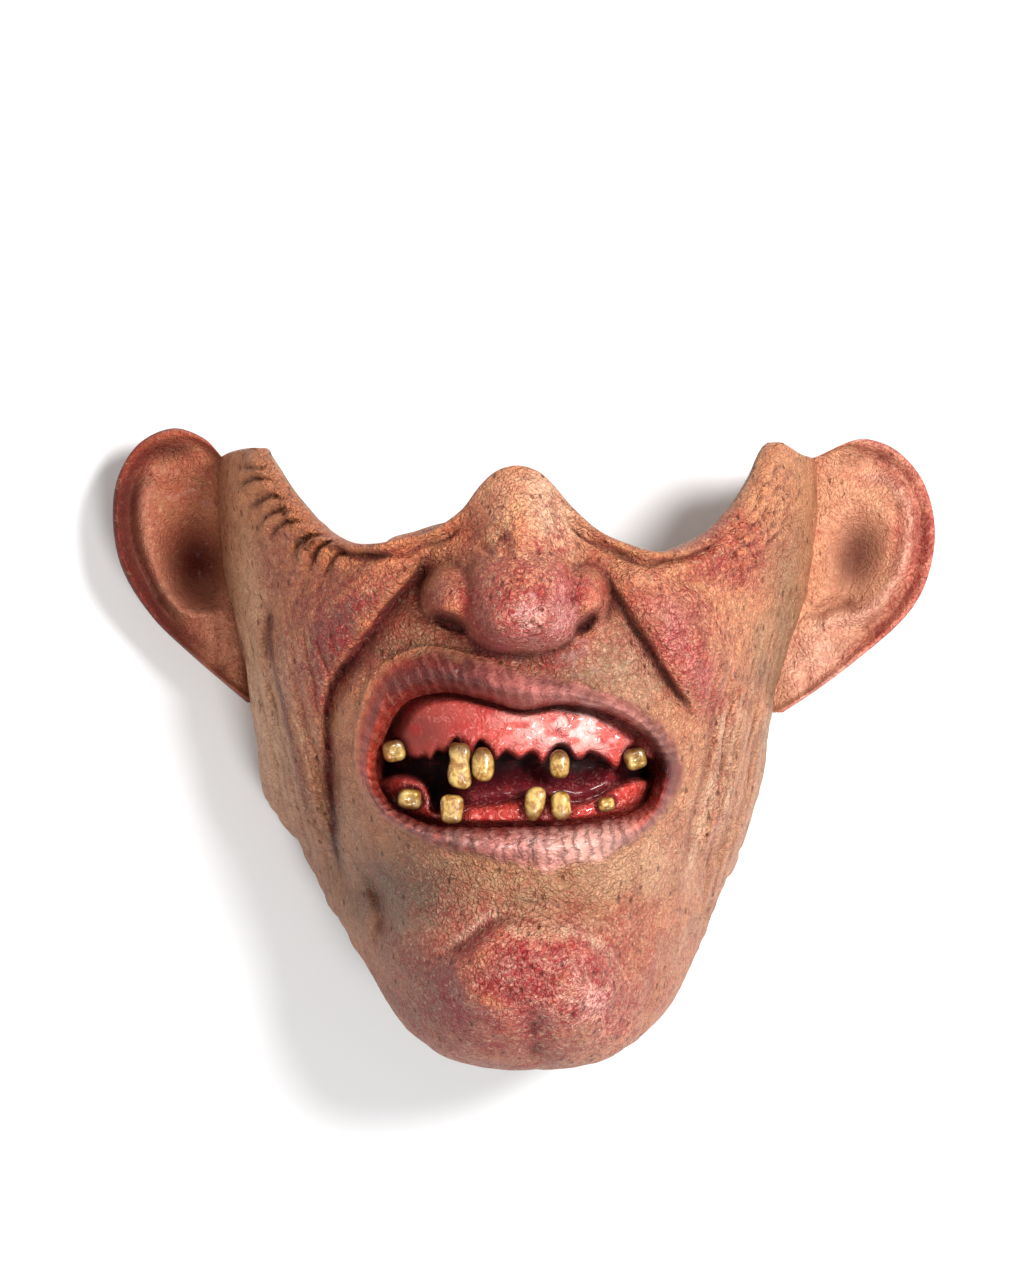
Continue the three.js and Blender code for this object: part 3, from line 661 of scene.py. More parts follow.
def temple_folds(from_eyes, place):
    """A rope of skin with knuckles along the rim at the left temple and finer ropes at the right, at
    distances from the rim under the eyes and places along it from the right temple."""
    left_place = EYE_RIM_LENGTH - place
    left = smooth(3, 9, left_place) * (1 - smooth(38, 48, left_place)) * smooth(0, 2.2, from_eyes)
    turned = left_place + 8 * (1 - np.exp(-from_eyes / 3.6)) - 0.25 * from_eyes
    count = turned / 5.2 + 0.16 * np.sin(turned * 0.42 + 1)
    strands = np.abs(np.sin(count * np.pi))
    thick = 1 - smooth(5, 14, from_eyes + 1.6 * np.sin(count * np.pi))
    rope = thick * (3 * strands - 0.6)
    right = smooth(2, 8, place) * (1 - smooth(36, 50, place))
    wander = 0.9 * np.sin(place * 0.35) + 0.6 * np.sin(place * 0.8 + 1)
    fine = np.abs(np.sin((from_eyes + wander) * np.pi / 3.2)) ** 0.7
    fine = fine * (0.7 + 0.3 * np.abs(np.sin(place * np.pi / 4.4 + from_eyes * 0.2)))
    window = smooth(0, 2.5, from_eyes) * (1 - smooth(12, 20, from_eyes))
    return left * rope + window * right * (2 * fine - 1.1)


def cheek_lines(points):
    """Upright wrinkles down the sides of the cheeks."""
    x, y = points[..., 0], points[..., 1]
    wander = 1.6 * lumps(points, 12.0, 7)
    left = smooth(-46, -58, x) * smooth(16, -4, y)
    right = smooth(46, 55, x) * smooth(4, -14, y)
    left_lines = hump(np.sin((x + 0.2 * y + wander) * np.pi / 4.4), 0, 0.36)
    right_lines = hump(np.sin((x - 0.22 * y + wander) * np.pi / 3.8), 0, 0.36)
    return -0.6 * left * left_lines - 0.7 * right * right_lines


RIM_ROUND = 1.5


def rounded_rim(from_rim):
    """How far the outside falls in towards the cut edge."""
    short = np.clip(1 - from_rim / RIM_ROUND, 0, 1)
    return -RIM_ROUND * (1 - np.sqrt(1 - short**2))


def rim_bead(angle, from_eyes):
    """The rolled edge under the eyes and the crease beside it."""
    under_eyes = smooth(36, 42, angle) * (1 - smooth(74, 80, angle))
    under_eyes = under_eyes + smooth(103, 109, angle) * (1 - smooth(131, 138, angle))
    return under_eyes * (1.5 * hump(from_eyes, 1.3, 1.3) - 2.6 * hump(from_eyes, 3.7, 0.9))


def face_surface(lines, rings, lip_weight, fine):
    """The outside of the face as a grid of points, and where each point is: the angle round the mouth, the
    share of the way over the lips and the millimetres from the cut edge."""
    angles = line_angles(lines)
    r = rings_of(angles, rings, lip_weight, 0.55)
    if fine:
        closer = r[:, -2:-1] + (r[:, -1:] - r[:, -2:-1]) * np.array([0.45, 0.75, 0.92])
        r = np.concatenate([r[:, :-1], closer, r[:, -1:]], axis=1)
    angle, r = np.broadcast_arrays(angles[:, None], r)
    a, s, lips = spot_at(angle, r)
    base = head_point(a, s)
    steps = np.linalg.norm(np.diff(base, axis=1), axis=-1)
    lengths = np.concatenate([np.zeros((lines, 1)), np.cumsum(steps, axis=1)], axis=1)
    from_rim = lengths[:, -1:] - lengths
    q = r / LIP_SHARE
    x, y = base[..., 0], base[..., 1]
    height, drawn_x, drawn_y = carving(x, y) if fine else (lowest_carving(x, y), 0, 0)
    faded = 1 - smooth(0.9, 1, np.abs(a))
    points = base + out_of_head(a, s) * (height * faded + lips)[..., None]
    if fine:
        from_eyes, share, _, _ = beside(EYE_RIM, x, y)
        from_eyes = np.abs(from_eyes)
        from_rim = np.minimum(from_rim, from_eyes)
        kept = faded * (1 - hump(from_rim, 0, 3)) * smooth(1, 1.4, q)
        points[..., 0] += drawn_x * kept
        points[..., 1] += drawn_y * kept
        edge_ridge = (0.5 + 1.4 * hump(angle, 145, 46)) * hump(q, 1.02, 0.13)
        detail = edge_ridge + lip_wrinkles(angle, q)
        detail = detail + temple_folds(from_eyes, share * EYE_RIM_LENGTH) + rim_bead(angle, from_eyes)
        uneven = 0.45 * lumps(points, 9.0, 3) + 0.28 * lumps(points, 3.6, 5) + cheek_lines(points)
        uneven = uneven * smooth(0, 3, from_rim)
        detail = detail + smooth(1, 1.3, q) * uneven + rounded_rim(from_rim)
        points = points + grid_normals(points) * detail[..., None]
        points[..., 2] = np.clip(points[..., 2], 0, packed_box[1][2] * 1000)
    return points, angle, q, from_rim


def shell_back(front):
    """The inside of the shell, a wall behind the plain carving, and its meeting with the front's edges."""
    plain = face_surface(FACE_LINES, BACK_RINGS, 1.5, False)[0]
    out = grid_normals(smoothed(plain, 3))
    flat = plain[:, -1, 2] < 0.01
    out[flat, -1, 2] = 0
    out[:, -1] /= np.linalg.norm(out[:, -1], axis=-1, keepdims=True)
    back = plain - out * WALL
    back[:, -1] = front[:, -1] - out[:, -1] * WALL
    back[..., 2] = np.maximum(0, back[..., 2])
    return back


# Ears, the left one as -1 and the right one as 1: outlines from the top of the join round to its bottom,
# mounds of which the first is the bowl, and creases and folds with half-width, height and path

EAR_OUTLINES = {
    -1: [(-88, 53), (-94, 59.7), (-103.5, 62.8), (-113.9, 57.9), (-120.2, 47), (-121.1, 33), (-118, 20),
         (-109.1, 6.2), (-97.3, -5), (-88, -13), (-81.5, -18.5)],
    1: [(88, 54), (95, 58), (102, 59.7), (111.5, 56.1), (119.5, 46.5), (122.7, 32), (120, 17),
        (113.3, 6.2), (98.4, -6.8), (86, -16), (77.5, -21.5)],
}
EAR_MOUNDS = {
    -1: [(-97, 23, 9, 12, 8, -11), (-95.5, 15.5, 6, 4, 0, -3), (-105, 51, 10, 5, 12, -3),
         (-90, 2, 5, 7, 0, 2), (-84.6, -6, 3.6, 8, 0, 1.8), (-104, 38, 7, 8, 0, 1.4)],
    1: [(100, 25, 7.5, 12, -14, -7), (97, 13, 5, 4, 0, -2), (104, 49, 9, 5, -12, -2.4),
        (107, 36, 8, 10, 0, 1.4), (93.5, 22, 3.4, 7, 0, 2.4), (86, -2, 4.5, 6, 0, 2.2),
        (80.5, -12, 4, 5, 0, 2)],
}
EAR_CREASES = {
    -1: [
        (2.8, -4.4, [(-100, 57), (-110.3, 55.4), (-114.5, 51.1), (-116.6, 44.8), (-117.2, 35.9),
                   (-115.6, 27.3), (-111.5, 17.5), (-107.4, 9.3), (-100.5, 1.9), (-94.3, -2.3)]),
        (3.6, 3, [(-108, 50), (-111.6, 42), (-111, 34.1), (-109, 24.9), (-105.4, 16.3), (-101, 10)]),
        (2, 3.4, [(-106, 15), (-101, 9.4), (-96, 7.6), (-91, 8), (-87, 11)]),
        (1.2, -1.4, [(-92.5, 12), (-90.7, 8.9), (-89.5, 1.5), (-90.4, -10.1)]),
        (1.2, -1.5, [(-85.4, 1.8), (-87.2, -4.5), (-89.2, -10)]),
    ],
    1: [
        (2.6, -3.6, [(96, 54), (102.6, 54.6), (111.2, 52), (116.4, 45.4), (118.6, 36.5), (118.6, 27.6),
                     (116.8, 19.6), (112.2, 11.6), (106.8, 5.3), (99.6, 0.5), (91.5, -3.9)]),
        (2, 2.2, [(103.4, 48.6), (109.8, 47), (113.8, 41), (115.2, 34.4), (114.2, 26.4), (111, 18.4),
                  (106.6, 11.8), (101.4, 6.8), (94.4, 4.2)]),
        (1.4, -0.9, [(110, 42), (111.6, 34), (110.6, 26), (107.6, 18)]),
        (1.7, -3.6, [(86, 7.4), (89, 8.6), (92, 10.4), (96, 11.4), (99, 11)]),
        (1.8, 2.2, [(88, 4), (93, 6.6), (98, 7.4), (103, 10)]),
        (1.1, -1.4, [(83.6, -5.9), (84.8, -11.3), (84.2, -17)]),
    ],
}
# The level of an ear at its root and its rim, its thickness, and how far it stays over the table
EAR_ROOT, EAR_RIM, EAR_THICKNESS, EAR_LOWEST = 15.0, 21.0, 3.4, 2.5


def wall_at(side, y, z):
    """How far the head's side is from the middle, near the open back."""
    values = section_values(section_at(y))
    half = values[..., 3] if side < 0 else values[..., 4]
    return side * half * (1 - (z / values[..., 1]) ** values[..., 6]) ** (1 / values[..., 5])


def ear(side):
    """An ear's points and faces, how far each point is from the root to the rim, and what is its back."""
    outline = curved(EAR_OUTLINES[side], EAR_ROWS)
    top_y, bottom_y = outline[0, 1], outline[-1, 1]
    v = np.linspace(0.01, 0.99, EAR_ROWS)[:, None]
    rim = outline[:, None, :]
    root_y = mix(top_y, bottom_y, smooth(0, 1, v))

    def layer(e, is_front):
        """The front or the back, and the share of the way from the root to the rim of its points."""
        e = np.broadcast_to(e, (EAR_ROWS, e.size))
        level = mix(EAR_ROOT, EAR_RIM, e)
        y = mix(root_y, rim[..., 1], e)
        x = mix(wall_at(side, root_y, level * 0.8) - side * WALL / 2, rim[..., 0], e)
        cup = sum(mound(x, y, form) for form in EAR_MOUNDS[side])
        from_edge = (1 - e) * np.hypot(rim[..., 0] - x[:, :1], rim[..., 1] - y[:, :1])
        half = EAR_THICKNESS / 2
        rounded = half * np.sqrt(1 - np.clip(1 - from_edge / half, 0, 1) ** 2)
        folds = 0
        for half_width, height, points in EAR_CREASES[side]:
            distance, share, _, _ = beside(curved(points, 3 * len(points)), x, y)
            ends = smooth(0, 0.12, share) * (1 - smooth(0.82, 1, share))
            folds = folds + height * hump(distance, 0, half_width) * ends
        if not is_front:
            z = np.maximum(EAR_LOWEST, level + np.minimum(cup, 0) + np.minimum(folds, 0) - rounded)
            return np.stack([x, y, z], -1), e
        z = level + cup + rounded + 2.6 * hump(from_edge, 2.6, 2.2) + folds
        z = z + 0.25 * lumps(np.stack([x, y, z], -1), 6.0, 11)
        return np.stack([x, y, z], -1), e

    front, front_e = layer(1 - (1 - np.linspace(0, 1, EAR_COLUMNS + 1)) ** 1.4, True)
    back, back_e = layer(np.linspace(0, 1, EAR_BACK_COLUMNS + 1), False)
    points = np.concatenate([front, back[:, ::-1]], axis=1)
    e = np.concatenate([front_e, back_e[:, ::-1]], axis=1)
    is_back = np.concatenate([front_e * 0, back_e * 0 + 1], axis=1)
    columns = points.shape[1]
    faces = closed_grid(EAR_ROWS, columns, wrap_rows=False)
    middles, fans = end_fans(points)
    if side > 0:
        faces, fans = faces[:, ::-1], fans[:, ::-1]
    return points, faces, middles, fans, e, is_back


def end_fans(points):
    """The fans that close a closed grid's first and last row: their middle points and faces."""
    rows, columns = points.shape[:2]
    middles = np.stack([points[0].mean(0), points[-1].mean(0)])
    j = np.arange(columns)
    beyond = (j + 1) % columns
    first = np.stack([np.full(columns, rows * columns), j, beyond], -1)
    before = (rows - 1) * columns
    last = np.stack([np.full(columns, rows * columns + 1), before + beyond, before + j], -1)
    return middles, np.concatenate([first, last])


# Paint. Each spot of colour has x, y, half-widths, turn, colour and strength. Spots marked below are
# painted light: highlights, light on the left side turned from the key light, and shade on the left pad.

FLESH = "c98a62"
SKIN_SPOTS = [
    # painted light: the left cheek lightened where it turns from the key light
    (-62, 20, 26, 60, 8, "f0945e", 0.9),
    (62, 22, 26, 60, -8, "f2a676", 0.85),
    (-2, 34, 16, 20, 0, "f6a478", 0.9),
    # painted highlight on the right of the bridge
    (6, 36, 8, 14, 10, "ffd0a8", 0.9),
    # painted light on the left side, turned from the key light
    (-77, -8, 9, 45, 6, "ffcca0", 0.95),
    (76, -4, 8, 40, -6, "a68c6a", 0.85),
    (-31, -8, 13, 13, 40, "6a583e", 0.9),
    (28, -6, 16, 12, -35, "bf9f82", 0.8),
    (2, -7, 20, 6, 0, "807256", 0.95),
    (-60, -48, 14, 34, 14, "b88c6a", 0.7),
    (56, -50, 14, 34, -12, "d9a27a", 0.75),
    (0, -70, 38, 8, 0, "a88a68", 0.7),
    (-30, -62, 16, 12, 20, "94745a", 0.6),
    # the left pad's dark red and purple: its own colour with painted shade on its slope to the crease
    (-46, 7, 22, 13, 50, "802e28", 0.95),
    (-51, 0, 13, 8, 60, "6a2c40", 0.75),
    (-34, -71, 17, 9, 10, "605140", 0.8),
    (-24, -75, 9, 5, 0, "6a6252", 0.5),
    (-22, -100, 13, 14, 0, "5e281e", 0.85),
    # painted light on the middle of the left cheek, turned from the key light
    (-67, -3, 11, 24, 10, "ee9e70", 0.7),
    # painted light under the left eye, turned from the key light
    (-40, 21, 16, 4, 28, "ff9c66", 0.85),
    # painted highlight along the left cheek's ridge
    (-56, 12, 14, 3, 38, "d97f52", 0.6),
    (-70, 22, 7, 10, 0, "96564c", 0.4),
    (44, -3, 17, 9, -56, "cc625c", 0.9),
    # painted highlight on the right pad
    (41, 1, 9, 4, -56, "ec9e98", 0.55),
    # painted highlight along the right cheek's ridge
    (44, 16, 18, 3, -32, "eda26f", 0.75),
    (60, 26, 13, 12, 0, "cf6a5c", 0.6),
    (-2, 7, 18, 14, 0, "ca5a50", 0.8),
    (-13, 30, 6, 10, 20, "b85c36", 0.7),
    (-9, 12, 6, 9, 0, "98443c", 0.6),
    (-7, 2.5, 6, 6, 0, "b4425c", 0.8),
    # painted highlights on the nose tip's right lobe and middle
    (9, 7, 8, 8, 0, "fab4b2", 0.85),
    (2, 6, 6, 7, 0, "fac0b4", 0.8),
    (0, 22, 13, 6, 0, "e08a62", 0.5),
    (-20, 11, 8, 9, 0, "b0503f", 0.9),
    (18, 12, 8, 9, 0, "d45e50", 0.85),
    (4, -97, 30, 19, 0, "cc7c72", 0.9),
    (-12, -98, 14, 14, 0, "8a424a", 0.7),
    (-4, -90, 7, 8, 0, "d08a80", 0.5),
    (15, -99, 8, 9, 0, "fabab0", 0.9),
    (-7, -106, 7, 6, 0, "d8847c", 0.6),
    (22, -112, 10, 6, 20, "ffac8e", 0.85),
    (-10, -113, 13, 7, -10, "b24a44", 0.65),
    (-16, -104, 6, 6, 0, "9a3c44", 0.5),
    (8, -92, 7, 6, 0, "de8c80", 0.5),
    (4, -84, 24, 4, 0, "d0695a", 0.6),
    # painted highlight on the fold over the chin
    (10, -80, 18, 3, -8, "f0c09c", 0.6),
    (8, -114, 20, 5, 0, "9c6a4c", 0.6),
    (-28, -100, 10, 14, 20, "a57a62", 0.6),
    (-36, -78, 8, 12, 30, "9b7c64", 0.6),
    (36, -84, 10, 20, -30, "d38a66", 0.6),
    (31, -63, 13, 9, 0, "e6b892", 0.55),
]

# Where the skin is flushed, as mounds
FLUSH_SPOTS = [
    (-48, 8, 22, 14, 50, 1.0),
    (-70, 24, 10, 14, 0, 0.35),
    (46, 0, 22, 14, -56, 0.9),
    (60, 24, 16, 14, 0, 0.8),
    (-1, 12, 24, 18, 0, 0.9),
    (2, -99, 36, 24, 0, 1.2),
    (0, -8, 60, 10, 0, 0.15),
    (50, -50, 14, 30, -10, 0.3),
    (-58, -20, 10, 30, 0, 0.4),
    (2, 34, 14, 14, 0, 0.35),
]
NOSE_GLOSS = (2, 12, 16, 18, 0, 0.3)

# Strokes along a path: painted shade in creases, dents and under the nose, and painted highlights
# on ridges and folds. Each has half-width, colour, strength and path
SHADE_AND_HIGHLIGHT_STROKES = [
    # painted shade on the left pad's slope down to the laughter line
    (4, "6c2a28", 0.6, [(-29, 23.6), (-36, 16.5), (-41, 11), (-47, 4), (-53, -3), (-58, -11), (-60, -22)]),
    # painted highlight down the bridge
    (2.6, "ffc48e", 0.9, [(2, 43), (-1, 38), (-4.6, 33), (-7.4, 29), (-9, 25.6), (-10, 20)]),
    # painted shade in the bridge's long dent, under the nose as its cast shadow, and in the short dent
    (1, "742a1e", 0.6, [(-6.6, 33), (-5.2, 29), (-3.8, 25.8), (-1.8, 21.6)]),
    (1.8, "5a2c20", 0.7, [(-19, 1), (-13, -3), (-6, -5.6), (1, -6.4), (8, -5.4), (13, -2.4), (17, 1.6)]),
    (1, "8a3c28", 0.4, [(-12.6, 30), (-11, 27), (-8.8, 24), (-5, 21)]),
    # painted highlights along the cheeks' ridges
    (2.4, "ea8a5c", 0.8, [(-26, 27), (-31.3, 25), (-38.3, 21.4), (-44.8, 17.4), (-54, 9.9), (-62, 3)]),
    (2.2, "f0a078", 0.7, [(24, 24), (31, 20.5), (40, 15.4), (49.2, 9), (55.9, 0.6), (59.3, -8)]),
    # painted shade in the laughter lines, drapes, dimple, chin fold and the creases under the eyes
    (1.3, "1c0a06", 1, [(-26, 25.4), (-31.9, 15.4), (-37, 9), (-45, -1.2), (-51.5, -9), (-55, -17.5),
                           (-55.4, -30), (-55, -46), (-53.6, -60), (-50, -72)]),
    (0.9, "4a1610", 0.85, [(20.6, 21), (23, 17), (26, 12), (29, 7), (32, 2.6)]),
    (0.9, "4a1610", 0.85, [(30, 5.6), (36, -3), (40, -9.6), (44, -15.4), (47.6, -20.4)]),
    (1.2, "4a2a1a", 0.8, [(-74, 10), (-73, 2), (-71.4, -8), (-68.3, -21), (-64.1, -40), (-60.6, -54)]),
    (1.5, "38180e", 0.6, [(-47.2, -63), (-44.6, -68), (-42.4, -73), (-40.6, -78), (-40.4, -83),
                          (-41.4, -88)]),
    (0.9, "a83a34", 0.4, [(-24.5, -90.5), (-20.3, -88.6), (-16, -86), (-12, -82.2), (-8.6, -79.4),
                          (-4, -77.6)]),
    (1.2, "6c3a28", 0.5, [(54, -14), (53.6, -28), (51.4, -42), (47.6, -56), (44, -70)]),
    (0.9, "5c2a1a", 0.85, [(-60, 32), (-51.2, 25.5), (-44.6, 23.4), (-38, 24.4), (-31.4, 26.4), (-22, 31)]),
    (0.9, "84442e", 0.7, [(15, 33.4), (26, 25.6), (34, 22.6), (41, 22.2), (48, 24), (58, 30)]),
    # painted highlights on the drapes' folds and on the folds over the chin
    (1.6, "f4caa8", 0.6, [(57, -14), (56.6, -30), (54, -46), (49, -62), (46, -76)]),
    (1.5, "f4caa8", 0.5, [(62, -12), (61, -30), (58, -48), (52.6, -64)]),
    (1.6, "deb08a", 0.5, [(-69, 6), (-68, -10), (-64.5, -26), (-60.5, -42)]),
    (1.2, "f4ceb0", 0.7, [(-24, -86.6), (-19, -84.4), (-14, -80.6), (-9.4, -76.8), (-3, -75)]),
    (1.3, "f6d2b4", 0.6, [(6, -79), (12, -80), (19, -83.6), (25, -89), (29, -96)]),
    # painted shade in the crease on the chin's right
    (1.1, "b04038", 0.5, [(8, -82.4), (14, -84), (20, -88), (24, -94)]),
]


# Lays the strokes of painted shade and painted highlight over a colour.
def shaded_and_highlighted(x, y, colour):
    for half_width, stroke, strength, points in SHADE_AND_HIGHLIGHT_STROKES:
        path = curved(points, 3 * len(points))
        distance, share, _, _ = beside(path, x, y)
        cover = strength * tapered(share, path) * hump(distance, 0, half_width)
        colour = coat(colour, stroke, cover)
    return colour


def spotted(x, y, colour):
    for *place, spot, strength in SKIN_SPOTS:
        colour = coat(colour, spot, mound(x, y, (*place, strength)))
    return colour


# The lips' colours by the angle round the mouth. The dark red at the right corner (0) is
# painted shade inside the corner.
LIP_COLOURS = [
    (0, "501210"), (35, "aa6c62"), (65, "b6726a"), (95, "96504a"), (120, "602826"), (150, "7a2c24"),
    (180, "a83a28"), (215, "8a3c34"), (245, "a0584e"), (270, "e0948a"), (300, "f6b6a6"), (330, "a84a3c"),
]
lip_colour = through([(angle, *linear(shade)) for angle, shade in LIP_COLOURS], 360)


def pleated(points, angle, on_lips):
    """The count of fine pleats across the skin, and how deep they are. The deepest of the lips', the
    cheeks', the chin's and the ridges' pleats shows at each point."""
    x, y = points[..., 0], points[..., 1]
    lower = hump(angle, 270, 60)
    arched = y + 0.012 * (x - 4) ** 2
    sorts = [
        (np.radians(angle) * 10, on_lips * smooth(3, 14, from_corner(angle)) * (0.4 + 0.5 * lower)),
        ((x + 0.2 * y) / 2.2, 0.35 * smooth(-50, -58, x) * smooth(20, 0, y)),
        ((x - 0.22 * y) / 2.2, 0.5 * smooth(47, 56, x) * smooth(14, -6, y)),
        ((arched + 0.35 * x) / 2.2, 0.55 * hump(arched, -76, 5) * hump(x, 12, 20)),
        ((y + 0.62 * x) / 3.1, 0.3 * mound(x, y, (-46, 17, 20, 8, 32, 1.0))),
        ((y - 0.8 * x) / 3.1, 0.25 * mound(x, y, (47, 8, 20, 8, -50, 1.0))),
    ]
    counts = np.array([count for count, _ in sorts])
    depths = np.array([depth for _, depth in sorts])
    deepest = depths.argmax(axis=0)[None]
    second, first = np.sort(depths, axis=0)[-2:]
    return np.take_along_axis(counts, deepest, axis=0)[0], first - second


def lip_paint(points, angle, edge):
    """The lips' colours, by the angle round the mouth and the share of the way over the lips, with
    painted shade in the right corner and painted wet highlights on the lower lip.
    """
    left_side = hump(angle, 180, 36)
    lip = np.maximum(0, lip_colour(angle))
    patch = 0.5 + 0.5 * lumps(points, 4.0, 25)
    lip = mix(lip, lip * 0.55, (smooth(0.55, 0.9, patch) * 0.7)[..., None])
    lip = mix(lip, lip * 1.7, (smooth(0.5, 0.15, patch) * 0.6)[..., None])
    right_edge = smooth(0.45, 0.95, edge) * hump(from_corner(angle), 0, 50)
    lip = coat(lip, "8a3a2a", right_edge * 0.8)
    # painted wet highlights: whitish streaks across the middle of the lower lip
    streak = lumps(np.stack([np.radians(angle) * 34, edge * 3, edge * 0], -1), 1.0, 26)
    painted_wet_highlight = smooth(0, 0.4, streak) * hump(edge, 0.42, 0.2) * hump(angle, 275, 38)
    lip = coat(lip, "f2c8c0", painted_wet_highlight * 0.5)
    left_edge = smooth(0.5, 0.8, edge) * hump(angle, 184, 44)
    lip = coat(lip, "c23c20", left_edge * 0.9)
    wet = 1 - smooth(0.05, 0.25 + 0.25 * left_side, edge)
    inner = mix(linear("8a2a24"), linear("c0402f"), left_side[..., None])
    return mix(lip, inner, wet[..., None] * 0.9)


def relief_of(front):
    """How far each point stands over the skin just around it, and that over the broad form."""
    narrow = smoothed(front, 10)
    broad = smoothed(narrow, 60)
    relief = np.sum((front - narrow) * grid_normals(front), axis=-1)
    rise = np.sum((narrow - broad) * grid_normals(broad), axis=-1)
    return relief, rise


def paint_face(front, angle, q, from_rim):
    """The face's broad colours with their painted shade and highlights, how flushed and glossy it is, and
    the masks for painted shade in its narrow dips and painted highlights on its crests.
    """
    x, y = front[..., 0], front[..., 1]
    bent_x, bent_y = x + 4.5 * lumps(front, 10.0, 21), y + 4.5 * lumps(front, 10.0, 22)
    colour = spotted(bent_x, bent_y, np.broadcast_to(linear(FLESH), front.shape))
    colour = shaded_and_highlighted(mix(x, bent_x, 0.25), mix(y, bent_y, 0.25), colour)
    relief, rise = relief_of(front)
    in_face = smooth(0, 6, from_rim) * smooth(1.1, 1.6, q)
    # painted shade in the broad dips and painted highlight on the broad rises
    colour = coat(colour, "8a4630", smooth(0.3, 2.6, -rise) * in_face * 0.4)
    colour = coat(colour, "f0a884", smooth(0.3, 2.6, rise) * in_face * 0.3)
    edge = q + 0.12 * lumps(front, 3.0, 23) + 0.12 * lumps(front, 7.0, 24)
    on_lips = 1 - smooth(0.8 + 0.08 * hump(angle, 180, 36), 1.1, edge)
    colour = mix(colour, lip_paint(front, angle, edge), on_lips[..., None])
    # painted highlight along the ridge at the lips' upper-left edge
    colour = coat(colour, "ea9668", hump(q, 1.04, 0.12) * hump(angle, 158, 56) * 0.85)
    # painted shade: near-black in the nostrils
    nostrils = sum(mound(x, y, (*form[:5], 1.0)) for form in NOSTRILS)
    colour = coat(colour, "1e0806", np.clip(nostrils * 1.2, 0, 0.95))
    colour = coat(colour, "9c6240", hump(from_rim, 0, 1.2) * 0.5)
    across, pleats = pleated(front, angle, on_lips)
    flush = sum(mound(bent_x, bent_y, form) for form in FLUSH_SPOTS)
    skin = 1 - on_lips
    lip_gloss = 1 - 0.9 * smooth(0.25, 0.6, q) * (1 - 0.8 * hump(angle, 270, 60))
    return {
        "colour": colour,
        "flush": np.clip(flush, 0, 1) * skin,
        # masks for painted shade in the narrow dips and painted highlights on the narrow crests
        "shade_in_hollows": smooth(0.08, 1.1, -relief) * (0.35 + 0.65 * skin),
        "crest": smooth(0.25, 1.3, relief),
        "gloss": on_lips * lip_gloss + skin * mound(x, y, NOSE_GLOSS),
        "pores": skin,
        "lips": on_lips,
        "across": across,
        "pleats": pleats,
    }


# Ear colours: rim, its top, its cut edge, inner face, raised folds, bowl, root and lobe
# the bowl's colour is painted shade and the raised folds' lighter colour painted highlight
# the left ear is painted darker than the right: its red-brown with painted shade for the side away from the
# key light
EAR_COLOURS = {
    -1: ("4c1006", "bc5e40", "360c04", "b67250", "c98a6c", "4a0d04", "c07a56", "f0a480"),
    1: ("f0937a", "ffae90", "dc7862", "eaaa84", "f2bca2", "704030", "eaa67e", "ffc4a6"),
}
LOBES = {-1: (-89, 0, 7, 12, 20, 1.0), 1: (88, -8, 12, 12, -30, 1.0)}


def paint_ear(side, points, e, is_back):
    """An ear's colours, with painted shade in its bowl and grooves and painted highlights on its raised
    folds, and the rest of its finish. What an ear hasn't got is 0.
    """
    x, y = points[..., 0], points[..., 1]
    rim, top, edge, inner, raised, bowl, root, lobe = EAR_COLOURS[side]
    colour = coat(linear(inner), root, 1 - smooth(0.05, 0.3, e))
    blend = e + 0.1 * lumps(points, 7.0, 61)
    rim_paint = coat(linear(rim), top, smooth(42, 54, y))
    colour = mix(colour, rim_paint, smooth(0.62, 0.88, blend)[..., None] * 0.9)
    colour = coat(colour, edge, smooth(0.955, 1, e) * 0.8)
    # painted shade in the grooves and painted highlight on the raised folds
    shade_in_hollows = 0
    for half_width, height, path in EAR_CREASES[side]:
        distance = beside(curved(path, 2 * len(path)), x, y)[0]
        near = hump(distance, 0, half_width)
        if height < 0:
            shade_in_hollows = shade_in_hollows + near * min(1, -height / 3)
        else:
            colour = coat(colour, raised, near * 0.6)
    # painted shade in the bowl
    in_bowl = mound(x, y, (*EAR_MOUNDS[side][0][:5], 1.0))
    colour = coat(colour, bowl, in_bowl)
    on_lobe = mound(x, y, LOBES[side])
    colour = coat(colour, lobe, on_lobe * 0.8)
    front = 1 - is_back
    # the left ear's grooves take deeper painted shade
    depth = 0.95 if side < 0 else 0.4
    dark_rim = smooth(0.62, 0.8, blend) * smooth(50, 40, y) * (side < 0)
    rim_flush = 0.1 if side < 0 else 0.5
    return {
        "colour": coat(colour, "b9805f", is_back),
        "flush": (0.3 + rim_flush * smooth(0.6, 0.95, e)) * front * (1 - in_bowl),
        "shade_in_hollows": np.clip(shade_in_hollows, 0, 1) * front * depth * (1 - 0.5 * on_lobe),
        "pores": 0.5 * front * (1 - 0.9 * in_bowl) * (1 - dark_rim),
        **dict.fromkeys(("crest", "gloss", "lips", "across", "pleats"), e * 0),
    }


